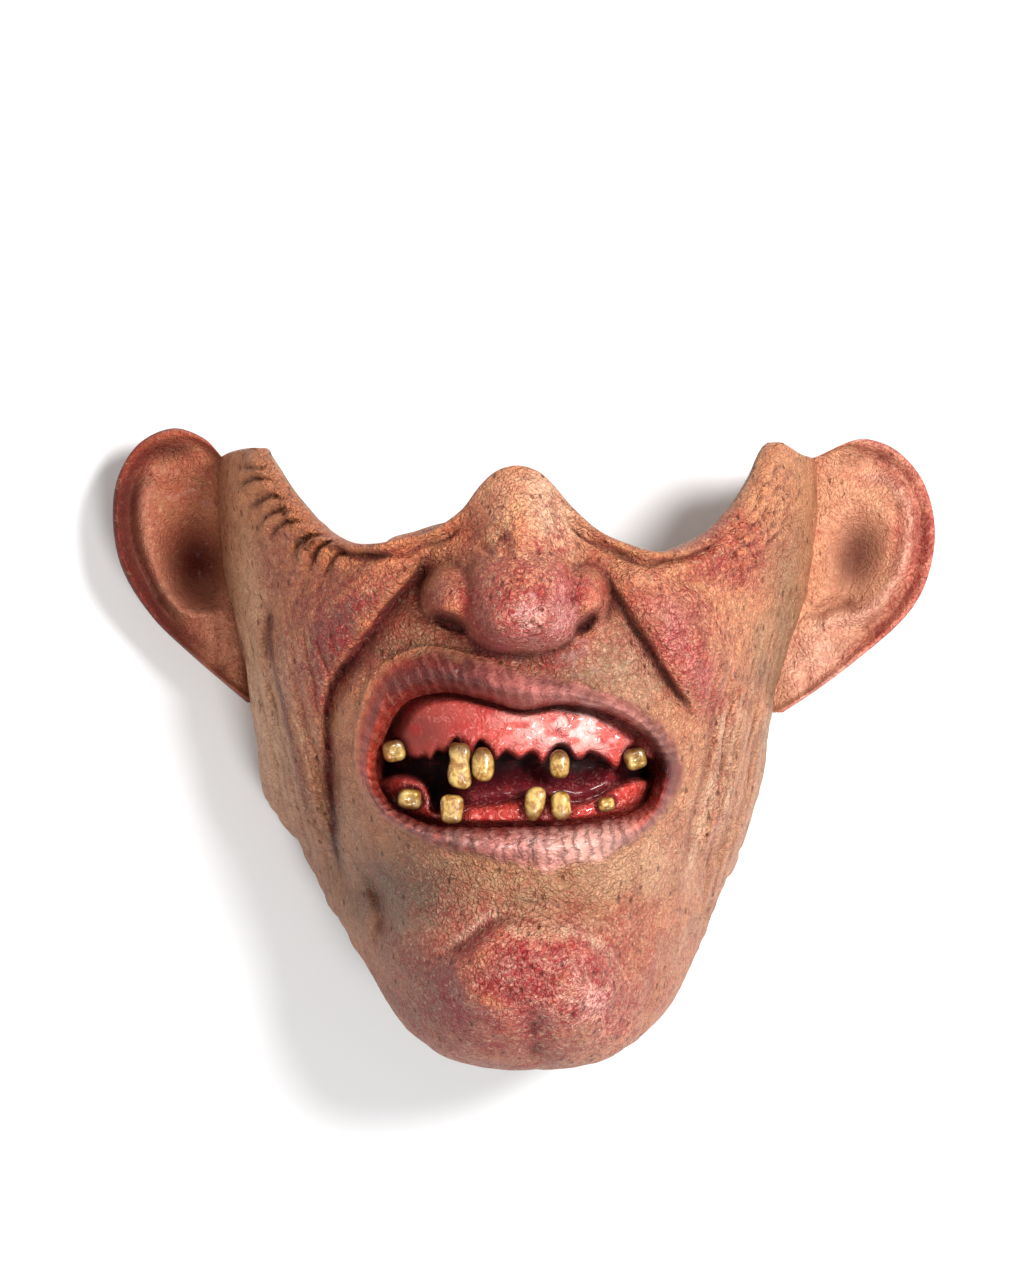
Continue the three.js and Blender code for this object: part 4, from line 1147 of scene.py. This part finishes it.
def build_skin():
    """The whole shell: the painted outside, the bare inside and both ears, as one piece."""
    front, angle, q, from_rim = face_surface(FACE_LINES, FACE_RINGS, 2.6, True)
    back = shell_back(front)
    rim = (front[:, -1] + back[:, -1]) / 2
    lip = (front[:, 0] + back[:, 0]) / 2
    face = np.concatenate([front, rim[:, None], back[:, ::-1], lip[:, None]], axis=1)
    columns = face.shape[1]
    painted = paint_face(front, angle, q, from_rim)
    bare = {**dict.fromkeys(painted, 0), "colour": linear("c9a184")}
    layers = {}
    for key, values in painted.items():
        whole = np.empty((FACE_LINES, columns, *values.shape[2:]))
        whole[:] = bare[key]
        whole[:, : front.shape[1]] = values
        whole[:, front.shape[1]] = values[:, -1]
        whole[:, -1] = values[:, 0]
        layers[key] = [whole.reshape(-1, *values.shape[2:])]
    points = [face.reshape(-1, 3)]
    faces = [closed_grid(FACE_LINES, columns)[:, ::-1]]
    placed = FACE_LINES * columns
    for side in (-1, 1):
        ear_points, ear_faces, middles, fans, e, is_back = ear(side)
        coats = paint_ear(side, ear_points, e, is_back)
        for key, values in coats.items():
            flat = values.reshape(-1, *values.shape[2:])
            layers[key] += [flat, flat[:1], flat[-1:]]
        points += [ear_points.reshape(-1, 3), middles]
        faces += [ear_faces + placed, fans + placed]
        placed += len(points[-2]) + len(middles)
    layers = {key: np.concatenate(parts) for key, parts in layers.items()}
    paint = layers.pop("colour")
    return make_piece("mask_skin", np.concatenate(points), faces, layers, paint)


# Gums: the grid, the middle and reach of the insert, how deep it lies under the plain face, how far it
# bulges in the mouth, how deep the dark gap is, and how it is seated behind the shell

GUM_COLUMNS, GUM_ROWS = 200, 130
GUM_X, GUM_Y, GUM_HALF_LENGTH, GUM_HALF_HEIGHT = -1.5, -34.5, 50.0, 30.0
GUM_DEPTH, GUM_BULGE, GAP_DEPTH = 13.5, 9.0, 10.5
SEAT_GAP, GUM_WALL = 1.2, 4.0
BEHIND_GUMS = "8a4a44"

# The scalloped edges of the upper and the lower gum
UPPER_GUM = [
    (-53, -31), (-47, -31.2), (-41.4, -31.3), (-38.6, -28.2), (-34.7, -28.2), (-33, -31.3),
    (-29.9, -32.7), (-27.4, -32.2), (-25.7, -33), (-24.1, -30.8), (-21.3, -31),
    (-18.8, -27.7), (-16.2, -30.2), (-14.8, -33.3),
    (-13.4, -30.2), (-11.8, -28), (-9.5, -29.9), (-7.6, -33), (-4.8, -30.8), (-2.8, -31.6), (-0.9, -32.7),
    (2.5, -31), (3.9, -31.6), (5.8, -34.1), (7.8, -31.3), (10, -29.1), (12.8, -29.6), (14.8, -32.4),
    (16.8, -32.7), (19, -31), (22.9, -32.7), (26.8, -35.5), (29.1, -31.3), (32.4, -29.9), (35.2, -32.7),
    (38.6, -34.1), (49, -34),
]
LOWER_GUM = [
    (-52, -42), (-41.4, -42.7), (-39.7, -40.3), (-34.1, -38.9), (-29.1, -40), (-26.6, -42.5), (-25.7, -47.5),
    (-22.7, -48.6), (-21.8, -46.4), (-19.6, -45.6), (-16.8, -47), (-14.8, -47), (-7.6, -46.4), (0.3, -45),
    (3.3, -44.7), (8.4, -45.9), (12, -45.6), (15.6, -46.4), (21.2, -44.7), (25.1, -42.5), (30.2, -40.3),
    (34.1, -40), (38.6, -40.5), (49, -40),
]

# Teeth: x and y of the middle, width, height and tilt, then what sort of tooth it is
TEETH = {
    "upper_1": (-36, -31.3, 6.2, 6.2, 12, "molar"),
    "upper_2": (-17.5, -35, 7, 13, -4, "heeled peg"),
    "upper_3": (-10.9, -34.6, 6.2, 9.6, 2, "round peg"),
    "upper_4": (10.4, -34.6, 5.8, 8, 0, "round peg"),
    "upper_5": (31.8, -33.4, 6.2, 6.2, 14, "worn molar"),
    "lower_1": (-31.6, -44.6, 6.6, 5.8, -6, "molar"),
    "lower_2": (-19.6, -47.3, 6.9, 8, -3, "block"),
    "lower_3": (3.6, -45.6, 6, 9.6, -6, "leaning peg"),
    "lower_4": (10.9, -46.2, 5.8, 8.4, 3, "round peg"),
    "lower_5": (23.7, -46, 4.6, 4.2, 10, "stump"),
}
TOOTH_DEPTH, TOOTH_SUNK = 5.6, 0.3


def gum_reach(across):
    """How far the insert reaches up and down, by the share of the way to its ends."""
    return GUM_HALF_HEIGHT * (1 - 0.86 * across**4) ** 0.5


def plain_carving(x, y):
    return head_height(x, y) + carving(x, y)[0]


def share_of_mouth(x, y):
    """How far each point is from the middle of the mouth, where 1 is the mouth's edge."""
    rim = mouth_edge(np.arange(0, 360, 3)) - np.array([GUM_X, GUM_Y])
    turns = np.degrees(np.arctan2(rim[:, 1], rim[:, 0]))
    dx, dy = x - GUM_X, y - GUM_Y
    reach = np.interp(np.degrees(np.arctan2(dy, dx)), turns, np.hypot(*rim.T), period=360)
    return np.hypot(dx, dy) / reach


def gum_base(x, y):
    """The gums' surface without their gap, and the part of it that is seated behind the lips."""
    across = np.minimum(1, np.abs(x - GUM_X) / GUM_HALF_LENGTH)
    edge = np.maximum(across, np.abs(y - GUM_Y) / gum_reach(across))
    in_mouth = share_of_mouth(x, y)
    inner = head_height(x, y) - GUM_DEPTH + GUM_BULGE * (1 - smooth(0.86, 1.04, in_mouth))
    reach = 4
    around = [(0, 0), (reach, 0), (-reach, 0), (0, reach), (0, -reach)]
    lowest = np.min([plain_carving(x + dx, y + dy) for dx, dy in around], axis=0)
    seated = lowest - WALL - SEAT_GAP
    return np.minimum(mix(inner, seated, smooth(0.78, 1, edge)), seated), in_mouth


def wet_gum(x, y):
    """Where the upper gum is wet and swirled, and takes swirls of painted reflection."""
    return hump(x, 15, 17) * hump(y, -24, 7)


def gums_surface(x, y):
    """The gums' height, and how much each point is gap, tongue, socket and gum edge."""
    base, in_mouth = gum_base(x, y)
    upper = through(UPPER_GUM)(x)[..., 0]
    lower = through(LOWER_GUM)(x)[..., 0]
    below_upper, above_lower = upper - y, y - lower
    inside = np.minimum(below_upper, above_lower)
    ends = 1 - smooth(37, 41, np.abs(x - GUM_X))
    gap = smooth(-0.1, 1.1, inside) * ends
    roll = 2.6
    rolled = roll * (1 - np.sqrt(1 - np.clip(1 + inside / roll, 0, 1) ** 2)) * ends
    tongue_top = hump(above_lower, 3, 4.2) * smooth(-22, -14, x) * (1 - smooth(24, 31, x))
    uneven = lumps(np.stack([x, y, base], -1), 2.8, 31)
    height = base - rolled * (1 - gap) - GAP_DEPTH * gap + 6.5 * tongue_top * gap + 0.5 * uneven * gap
    swollen = 0.3 * lumps(np.stack([x, y, base], -1), 4.0, 33) + 1.4 * wet_gum(x, y) * uneven
    height = height + (1 - gap) * swollen
    sockets = np.zeros(x.shape)
    for middle_x, middle_y, width, tall, tilt, _ in TEETH.values():
        inner = mound(x, y, (middle_x, middle_y, width / 2 + 0.9, tall / 2 + 0.9, tilt, 1), 2.2)
        outer = mound(x, y, (middle_x, middle_y, width / 2 + 2.6, tall / 2 + 2.4, tilt, 1), 2)
        height = height + (1 - gap) * (0.9 * (outer - inner) - 1.8 * inner)
        sockets = np.maximum(sockets, inner)
    return height, gap, tongue_top * gap, sockets * (1 - gap), in_mouth


def gum_back(x, y, height):
    """The insert's back, a wall behind the deepest part of its front near each point."""
    deepest = np.array([np.roll(height, step, axis=1) for step in range(-8, 9)]).min(0)
    deepest = np.array([np.roll(deepest, step, axis=0) for step in range(-4, 5)]).min(0)
    back = np.stack([x, y, blurred(deepest, 6, around=False) - GUM_WALL], -1)
    return np.concatenate([back[:, :-1:4], back[:, -1:]], axis=1)


def build_gums():
    """The insert: both gums, the tongue and the gap in front, with painted shade in the gap, round the
    teeth and under the lips, and a plain back.
    """
    u = np.linspace(-1, 1, GUM_COLUMNS)[:, None]
    v = np.linspace(-1, 1, GUM_ROWS)[None, :]
    x = GUM_X + GUM_HALF_LENGTH * np.broadcast_to(u, (GUM_COLUMNS, GUM_ROWS))
    y = GUM_Y + gum_reach(np.abs(u)) * v
    height, gap, tongue, sockets, in_mouth = gums_surface(x, y)
    front = np.stack([x, y, height], -1)
    points = np.concatenate([front, gum_back(x, y, height)[:, ::-1]], axis=1)
    faces = closed_grid(GUM_COLUMNS, points.shape[1], wrap_rows=False)
    middles, fans = end_fans(points)
    matt = hump(x, -33, 21) * hump(y, -26, 12)
    blotch = 0.5 + 0.5 * lumps(front, 5.0, 41)
    swirl = 0.5 + 0.5 * lumps(front * np.array([0.7, 1.2, 1]), 2.6, 43)
    shade_under_lips = smooth(1, 1.2, in_mouth)
    coats = [
        ("6e332d", matt),
        ("a8362c", 0.8 * smooth(-40, -45, y)),
        ("a31f22", 0.5 * hump(blotch, 1, 0.3)),
        # painted reflection: whitish wet swirls on the upper gum
        ("fac8c0", wet_gum(x, y) * (0.2 + 0.75 * smooth(0.45, 0.6, swirl))),
        # painted shade in the lower left tooth's socket
        ("6e2023", 0.8 * hump(x, -31.6, 7) * hump(y, -44.6, 6)),
        # painted shade round every tooth's root
        ("45121c", 0.9 * sockets),
        # painted shade: near-black in the deep gap between the gums
        ("120305", gap),
        ("54141a", np.clip(tongue * 1.2, 0, 1)),
        # painted shade where the insert runs under the lips
        ("2c0d10", shade_under_lips),
    ]
    colour = np.broadcast_to(linear("c8493f"), front.shape)
    for shade, share in coats:
        colour = coat(colour, shade, share)
    whole = np.empty(points.shape)
    whole[:] = linear(BEHIND_GUMS)
    whole[:, :GUM_ROWS] = colour
    paint = np.concatenate([whole.reshape(-1, 3), np.tile(linear(BEHIND_GUMS), (2, 1))])
    dull = np.ones(points.shape[:2])
    dull[:, :GUM_ROWS] = np.clip(0.95 * matt + gap - 0.35 * tongue + shade_under_lips, 0, 1)
    numbers = {"dull": np.concatenate([dull.ravel(), [1, 1]])}
    all_points = np.concatenate([points.reshape(-1, 3), middles])
    return make_piece("gums_and_tongue", all_points, [faces, fans], numbers, paint)


# Teeth

TOOTH_AROUND, TOOTH_ALONG = 40, 26
CUSPS = ((-0.5, 0.45), (0.48, 0.5), (-0.1, -0.55))


def tooth_shape(sort, across, along, out):
    """Points of a tooth on a ball's directions: across, along from root (-1) to tip (1), and out."""
    blunt = 0.7 if "peg" in sort else 0.62
    x, y, z = (np.sign(way) * np.abs(way) ** blunt for way in (across, along, out))
    if sort == "heeled peg":
        x = x * (1 - 0.22 * hump(y, -0.15, 0.35)) + 0.12 * y
        x = x + 0.2 * smooth(0.45, 0.9, y) * np.maximum(x, 0)
    elif sort == "round peg":
        x = x * (1 - 0.18 * smooth(-0.2, -1, y) - 0.1 * smooth(0.5, 1, y))
        z = z + 0.15 * hump(y, 0.3, 0.6) * hump(x, 0.2, 0.5) * (z > 0)
    elif sort == "leaning peg":
        x = x * (1 - 0.3 * smooth(0.2, -1, y)) - 0.12 * smooth(0.2, -1, y) + 0.1 * smooth(0.2, 1, y)
    elif sort == "block":
        x = x * (1 - 0.08 * hump(y, -0.4, 0.4))
        y = y + 0.08 * np.abs(x) * (y > 0)
    if "molar" in sort or sort == "stump":
        cusps = sum(hump(np.hypot(x - cusp_x, y - cusp_y), 0, 0.34) for cusp_x, cusp_y in CUSPS)
        pit = hump(np.hypot(x - 0.12, y - 0.05), 0, 0.3)
        z = np.where(z > 0, z * (0.62 + 0.42 * cusps - 0.5 * pit), z)
    return x, y, z


def build_tooth(name, form):
    """A tooth that stands on the highest gum under it."""
    middle_x, middle_y, width, tall, tilt, sort = form
    turn = np.linspace(0, 2 * np.pi, TOOTH_AROUND, endpoint=False)[None, :]
    lift = np.linspace(-np.pi / 2, np.pi / 2, TOOTH_ALONG)[:, None]
    across, out = np.cos(lift) * np.cos(turn), np.cos(lift) * np.sin(turn)
    along = np.broadcast_to(np.sin(lift), across.shape)
    tip = -1 if name.startswith("upper") else 1
    x, y, z = tooth_shape(sort, across, along, out)
    x, y, z = x * width / 2, y * tall / 2 * tip, z * TOOTH_DEPTH / 2
    rough = lumps(np.stack([x, y, z], -1) + np.array([middle_x, middle_y, 0]) * 3, 2.2, 51) * 0.12
    x, y, z = x * (1 + rough / 2), y * (1 + rough / 3), z + rough
    lean = np.radians(tilt)
    placed_x = middle_x + x * np.cos(lean) - y * np.sin(lean)
    placed_y = middle_y + x * np.sin(lean) + y * np.cos(lean)
    around = middle_y + np.linspace(-0.3, 0.3, 5) * tall
    middle_z = gum_base(np.full(5, float(middle_x)), around)[0].max() + TOOTH_DEPTH / 2 - TOOTH_SUNK
    points = np.stack([placed_x, placed_y, middle_z + z], -1)
    faces = closed_grid(TOOTH_ALONG, TOOTH_AROUND, wrap_rows=False)
    if tip > 0:
        faces = faces[:, ::-1]
    # brown towards the root, and painted shade on the sides that turn away from the front
    root = np.maximum(smooth(0.1, -0.9, along), 0.9 * smooth(0.7, 0.1, out))
    numbers = {"root": root, "pit": np.clip(hump(z, 0.8, 1.2) * (out > 0) * ("molar" in sort), 0, 1)}
    tooth = make_piece(f"tooth_skin_{name}", points, [faces], numbers)
    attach(tooth, "root")
    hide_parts(f"tooth_{name}")
    return tooth


# Materials


class Value:
    """A number that changes over a surface, written in ordinary arithmetic."""

    def __init__(self, recipe, socket):
        self.recipe, self.socket = recipe, socket

    def __add__(self, other):
        return self.recipe.maths("ADD", self, other)

    def __sub__(self, other):
        return self.recipe.maths("SUBTRACT", self, other)

    def __rsub__(self, other):
        return self.recipe.maths("SUBTRACT", other, self)

    def __mul__(self, other):
        return self.recipe.maths("MULTIPLY", self, other)

    __radd__ = __add__
    __rmul__ = __mul__


class Recipe:
    """One material's nodes. Its noises and cells are measured in millimetres."""

    def __init__(self, name, constants=None):
        self.material = bpy.data.materials.new(name)
        self.material.use_nodes = True
        self.nodes = self.material.node_tree.nodes
        self.links = self.material.node_tree.links
        self.shader = self.nodes["Principled BSDF"]
        for key, value in (constants or {}).items():
            self.shader.inputs[key].default_value = value
        place = self.node("TexCoord").outputs["Object"]
        self.place = self.node("VectorMath", {"operation": "SCALE"}, {0: place, "Scale": 1000}).outputs[0]

    def node(self, kind, settings=None, sockets=None):
        made = self.nodes.new("ShaderNode" + kind)
        for key, value in (settings or {}).items():
            setattr(made, key, value)
        for key, value in (sockets or {}).items():
            source = value.socket if isinstance(value, Value) else value
            if isinstance(source, bpy.types.NodeSocket):
                self.links.new(source, made.inputs[key])
            else:
                made.inputs[key].default_value = source
        return made

    def maths(self, operation, first, second=0.0):
        made = self.node("Math", {"operation": operation}, {0: first, 1: second})
        return Value(self, made.outputs[0])

    def step(self, low, high, value):
        settings = {"interpolation_type": "SMOOTHSTEP"}
        made = self.node("MapRange", settings, {"Value": value, "From Min": low, "From Max": high})
        return Value(self, made.outputs["Result"])

    def number(self, name):
        return Value(self, self.node("Attribute", {"attribute_name": name}).outputs["Fac"])

    def colour(self, name):
        return self.node("Attribute", {"attribute_name": name}).outputs["Color"]

    def coated(self, colour, coats):
        """A colour under coats of paint, each with its shade and the share of the surface it covers."""
        for shade, share in coats:
            sockets = {0: share, 6: colour, 7: (*linear(shade), 1)}
            colour = self.node("Mix", {"data_type": "RGBA"}, sockets).outputs[2]
        return colour

    def noise(self, size, detail=3.0, roughness=0.55, distortion=0.0, place=None):
        sockets = {"Vector": place or self.place, "Scale": 1 / size, "Detail": detail}
        sockets.update({"Roughness": roughness, "Distortion": distortion})
        return Value(self, self.node("TexNoise", None, sockets).outputs["Fac"])

    def specks(self, size, place=None):
        """How far each point is from the nearest of many scattered specks, and a number for that speck."""
        made = self.node("TexVoronoi", None, {"Vector": place or self.place, "Scale": 1 / size})
        shade = self.node("SeparateColor", None, {0: made.outputs["Color"]}).outputs[0]
        return Value(self, made.outputs["Distance"]), Value(self, shade)

    def cells(self, size, place):
        """How far each point is from the borders of a net of cells."""
        settings = {"feature": "DISTANCE_TO_EDGE"}
        made = self.node("TexVoronoi", settings, {"Vector": place, "Scale": 1 / size})
        return Value(self, made.outputs["Distance"])

    def warped(self, size, reach):
        """The place of each point, bent by noise."""
        noise = self.node("TexNoise", None, {"Vector": self.place, "Scale": 1 / size, "Detail": 2.0})
        bend = self.node("VectorMath", {"operation": "SCALE"}, {0: noise.outputs["Color"], "Scale": reach})
        return self.node("VectorMath", {"operation": "ADD"}, {0: self.place, 1: bend.outputs[0]}).outputs[0]

    def stretched(self, x, y, z):
        return self.node("VectorMath", {"operation": "MULTIPLY"}, {0: self.place, 1: (x, y, z)}).outputs[0]

    def into(self, name, value):
        source = value.socket if isinstance(value, Value) else value
        self.links.new(source, self.shader.inputs[name])

    def bump(self, height, distance, strength):
        """Height in units of distance, which is in metres."""
        made = self.node("Bump", None, {"Height": height, "Distance": distance, "Strength": strength})
        self.links.new(made.outputs["Normal"], self.shader.inputs["Normal"])


def skin_finish():
    """Painted latex with blotches, veins, freckles, pores, fine cracks and pleats, with painted shade in its
    creases and the pleats' folds and painted highlights on its crests and between the pleats.
    """
    recipe = Recipe("painted_latex_skin", {"Specular IOR Level": 0.22, "Coat Roughness": 0.22})
    flush, shade_in_hollows, crest = recipe.number("flush"), recipe.number("shade_in_hollows"), recipe.number("crest")
    gloss, pores, lips = recipe.number("gloss"), recipe.number("pores"), recipe.number("lips")

    bent = recipe.warped(1.8, 2.2)
    cracks = 1 - recipe.step(0.0, 0.22, recipe.cells(1.5, bent))
    coarse_cracks = 1 - recipe.step(0.0, 0.14, recipe.cells(4.2, bent))
    patches = recipe.step(0.4, 0.62, recipe.noise(6.0, 3.0, 0.6, 0.5))
    wash = recipe.maths("MAXIMUM", cracks * 0.8, coarse_cracks) * patches * pores
    blotches = recipe.noise(8.0, 5.0, 0.65, 0.8)
    crumbs = recipe.noise(2.2, 4.0, 0.7, 1.2)
    red = recipe.step(0.45, 0.6, blotches * 0.5 + crumbs * 0.5)
    veins = 1 - recipe.maths("ABSOLUTE", recipe.noise(4.2, 4.0, 0.65, 1.6) - 0.5) * 14
    veins = recipe.maths("MAXIMUM", veins, 0.0)
    fleck = recipe.noise(1.5, 4.0, 0.75, 1.0)
    nearby, sort = recipe.specks(1.7)
    freckle = (1 - recipe.step(0.12, 0.34, nearby)) * recipe.step(0.35, 0.4, sort)
    dusk = recipe.step(0.48, 0.7, recipe.noise(11.0, 4.0, 0.65, 0.6)) * pores
    pleats = recipe.number("pleats") * recipe.step(0.3, 0.5, recipe.noise(5.0, 2.0))
    count = recipe.number("across") + (crumbs - 0.5) * 0.8 + (blotches - 0.5) * 1.6
    fold = recipe.maths("PINGPONG", count, 0.5)
    distance, chance = recipe.specks(2.8, recipe.stretched(1.0, 0.55, 0.7))
    speck = (1 - recipe.step(0.1, 0.26, distance)) * recipe.step(0.3, 0.34, chance) * pores
    coats = [
        ("a02a2e", red * (flush * 0.8 + pores * 0.18)),
        ("a3202a", veins * (flush * 0.7 + pores * 0.18)),
        ("f6c6a2", recipe.step(0.54, 0.68, fleck) * (flush * 0.35 + pores * 0.4)),
        ("a3302a", freckle * (flush * 0.6 + pores * 0.28)),
        ("86694a", dusk * 0.25),
        # painted highlight on the crests
        ("f09a66", crest * 0.45 * pores),
        ("7a3420", wash * 0.36),
        # painted shade in the narrow dips and creases
        ("54201a", shade_in_hollows * 0.75),
        ("4e1a16", coarse_cracks * lips * 0.14),
        # painted shade in the pleats' folds and painted highlight between them
        ("5e2018", (1 - recipe.step(0.0, 0.15, fold)) * pleats * 0.7),
        ("e8a48c", recipe.step(0.2, 0.5, fold) * pleats * 0.3),
        ("5a2212", speck * 0.65),
    ]
    recipe.into("Base Color", recipe.coated(recipe.colour("paint"), coats))

    recipe.into("Coat Weight", gloss * 0.45 + 0.03)
    recipe.into("Roughness", 0.5 - gloss * 0.24 + (crumbs - 0.5) * 0.3 + shade_in_hollows * 0.12)
    grain = recipe.noise(0.8, 3.0, 0.6)
    relief = grain * 0.4 + crumbs * 0.6 + fleck * 0.4 - cracks * 0.3 * pores - coarse_cracks * 0.3 * pores
    recipe.bump(relief - speck * 0.5 + recipe.step(0.0, 0.3, fold) * pleats * 0.6, 0.0018, 1.0)
    return recipe.material


def gum_finish():
    """Wet gums with blood-red swirls and pale swirls of painted sheen, matt where the paint is dull."""
    recipe = Recipe("wet_gums", {"Coat Roughness": 0.07, "Specular IOR Level": 0.08})
    dull = recipe.number("dull")
    swirls = recipe.noise(3.4, 3.0, 0.5, 2.5)
    blood = recipe.step(0.52, 0.68, recipe.noise(2.4, 4.0, 0.65, 1.0))
    # painted sheen: pale swirls where the gum is wet
    pale = recipe.step(0.53, 0.66, recipe.noise(3.0, 3.0, 0.6, 2.5)) * (1 - dull)
    coats = [("a01c1a", blood * (1 - dull * 0.8) * 0.5), ("f2a89c", pale * 0.5)]
    recipe.into("Base Color", recipe.coated(recipe.colour("paint"), coats))
    recipe.into("Roughness", 0.2 + dull * 0.4 + swirls * 0.1)
    recipe.into("Coat Weight", 0.75 * (1 - dull))
    recipe.bump((swirls * 1.2 + recipe.noise(1.0, 2.0) * 0.2) * (1 - dull), 0.0014, 0.9)
    return recipe.material


def tooth_finish():
    """Yellow enamel with brown stains, deeper brown at the roots and in the pits, with painted shade on
    the sides turned from the front.
    """
    recipe = Recipe("stained_teeth", {"Coat Weight": 0.5, "Coat Roughness": 0.1})
    streaks = recipe.step(0.5, 0.7, recipe.noise(1.2, 4.0, 0.65, 0.8, recipe.stretched(1.0, 0.4, 1.0)))
    coats = [
        ("cfac62", recipe.step(0.35, 0.65, recipe.noise(2.6, 3.0, 0.6, 0.6))),
        ("6e4314", streaks * 0.6),
        # brown at the root, with painted shade on the tooth's sides
        ("4c2a10", recipe.number("root") * 0.85),
        ("3c220c", recipe.number("pit") * 0.6),
    ]
    recipe.into("Base Color", recipe.coated((*linear("8a5a1c"), 1), coats))
    recipe.into("Roughness", 0.3 + streaks * 0.2)
    recipe.bump(recipe.noise(1.3, 3.0, 0.6), 0.0004, 0.7)
    return recipe.material


# Floor, lights and camera


def add_floor():
    mesh = bpy.data.meshes.new("floor")
    half = 4.0
    corners = [(-half, -half, 0), (half, -half, 0), (half, half, 0), (-half, half, 0)]
    mesh.from_pydata(corners, [], [(0, 1, 2, 3)])
    floor = bpy.data.objects.new("floor", mesh)
    bpy.context.scene.collection.objects.link(floor)
    finish = Recipe("pale_floor", {"Roughness": 0.8, "Base Color": (0.88, 0.88, 0.88, 1)})
    mesh.materials.append(finish.material)


def add_light(name, place, size, power):
    light = bpy.data.lights.new(name, "AREA")
    light.shape = "DISK"
    light.size = size
    light.energy = power
    lamp = bpy.data.objects.new(name, light)
    lamp.location = place
    lamp.rotation_euler = (LIT_POINT - Vector(place)).to_track_quat("-Z", "Y").to_euler()
    bpy.context.scene.collection.objects.link(lamp)


def add_camera():
    data = bpy.data.cameras.new("camera")
    data.sensor_fit = "VERTICAL"
    data.sensor_height = 36
    data.lens = data.sensor_height * LENS_PIXELS / PICTURE_HEIGHT
    data.clip_end = 20
    camera = bpy.data.objects.new("camera", data)
    camera.location = CAMERA
    bpy.context.scene.collection.objects.link(camera)
    bpy.context.scene.camera = camera


add_camera()
add_floor()
add_light("key", (0.55, 0.3, 1.05), 0.36, 18.5)
add_light("fill", (-0.9, 0.1, 1.0), 1.0, 1.5)
add_light("low", (0.25, -0.45, 1.2), 0.36, 7.4)
world = bpy.data.worlds.new("studio")
world.use_nodes = True
world.node_tree.nodes["Background"].inputs["Color"].default_value = (1, 1, 1, 1)
world.node_tree.nodes["Background"].inputs["Strength"].default_value = 0.42
bpy.context.scene.world = world
bpy.context.scene.view_settings.view_transform = "Standard"

skin = build_skin()
skin.data.materials.append(skin_finish())
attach(skin, "root")
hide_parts("mask_shell")

gums = build_gums()
gums.data.materials.append(gum_finish())
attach(gums, "root")
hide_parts("mouth_insert")

enamel = tooth_finish()
for name, form in TEETH.items():
    build_tooth(name, form).data.materials.append(enamel)
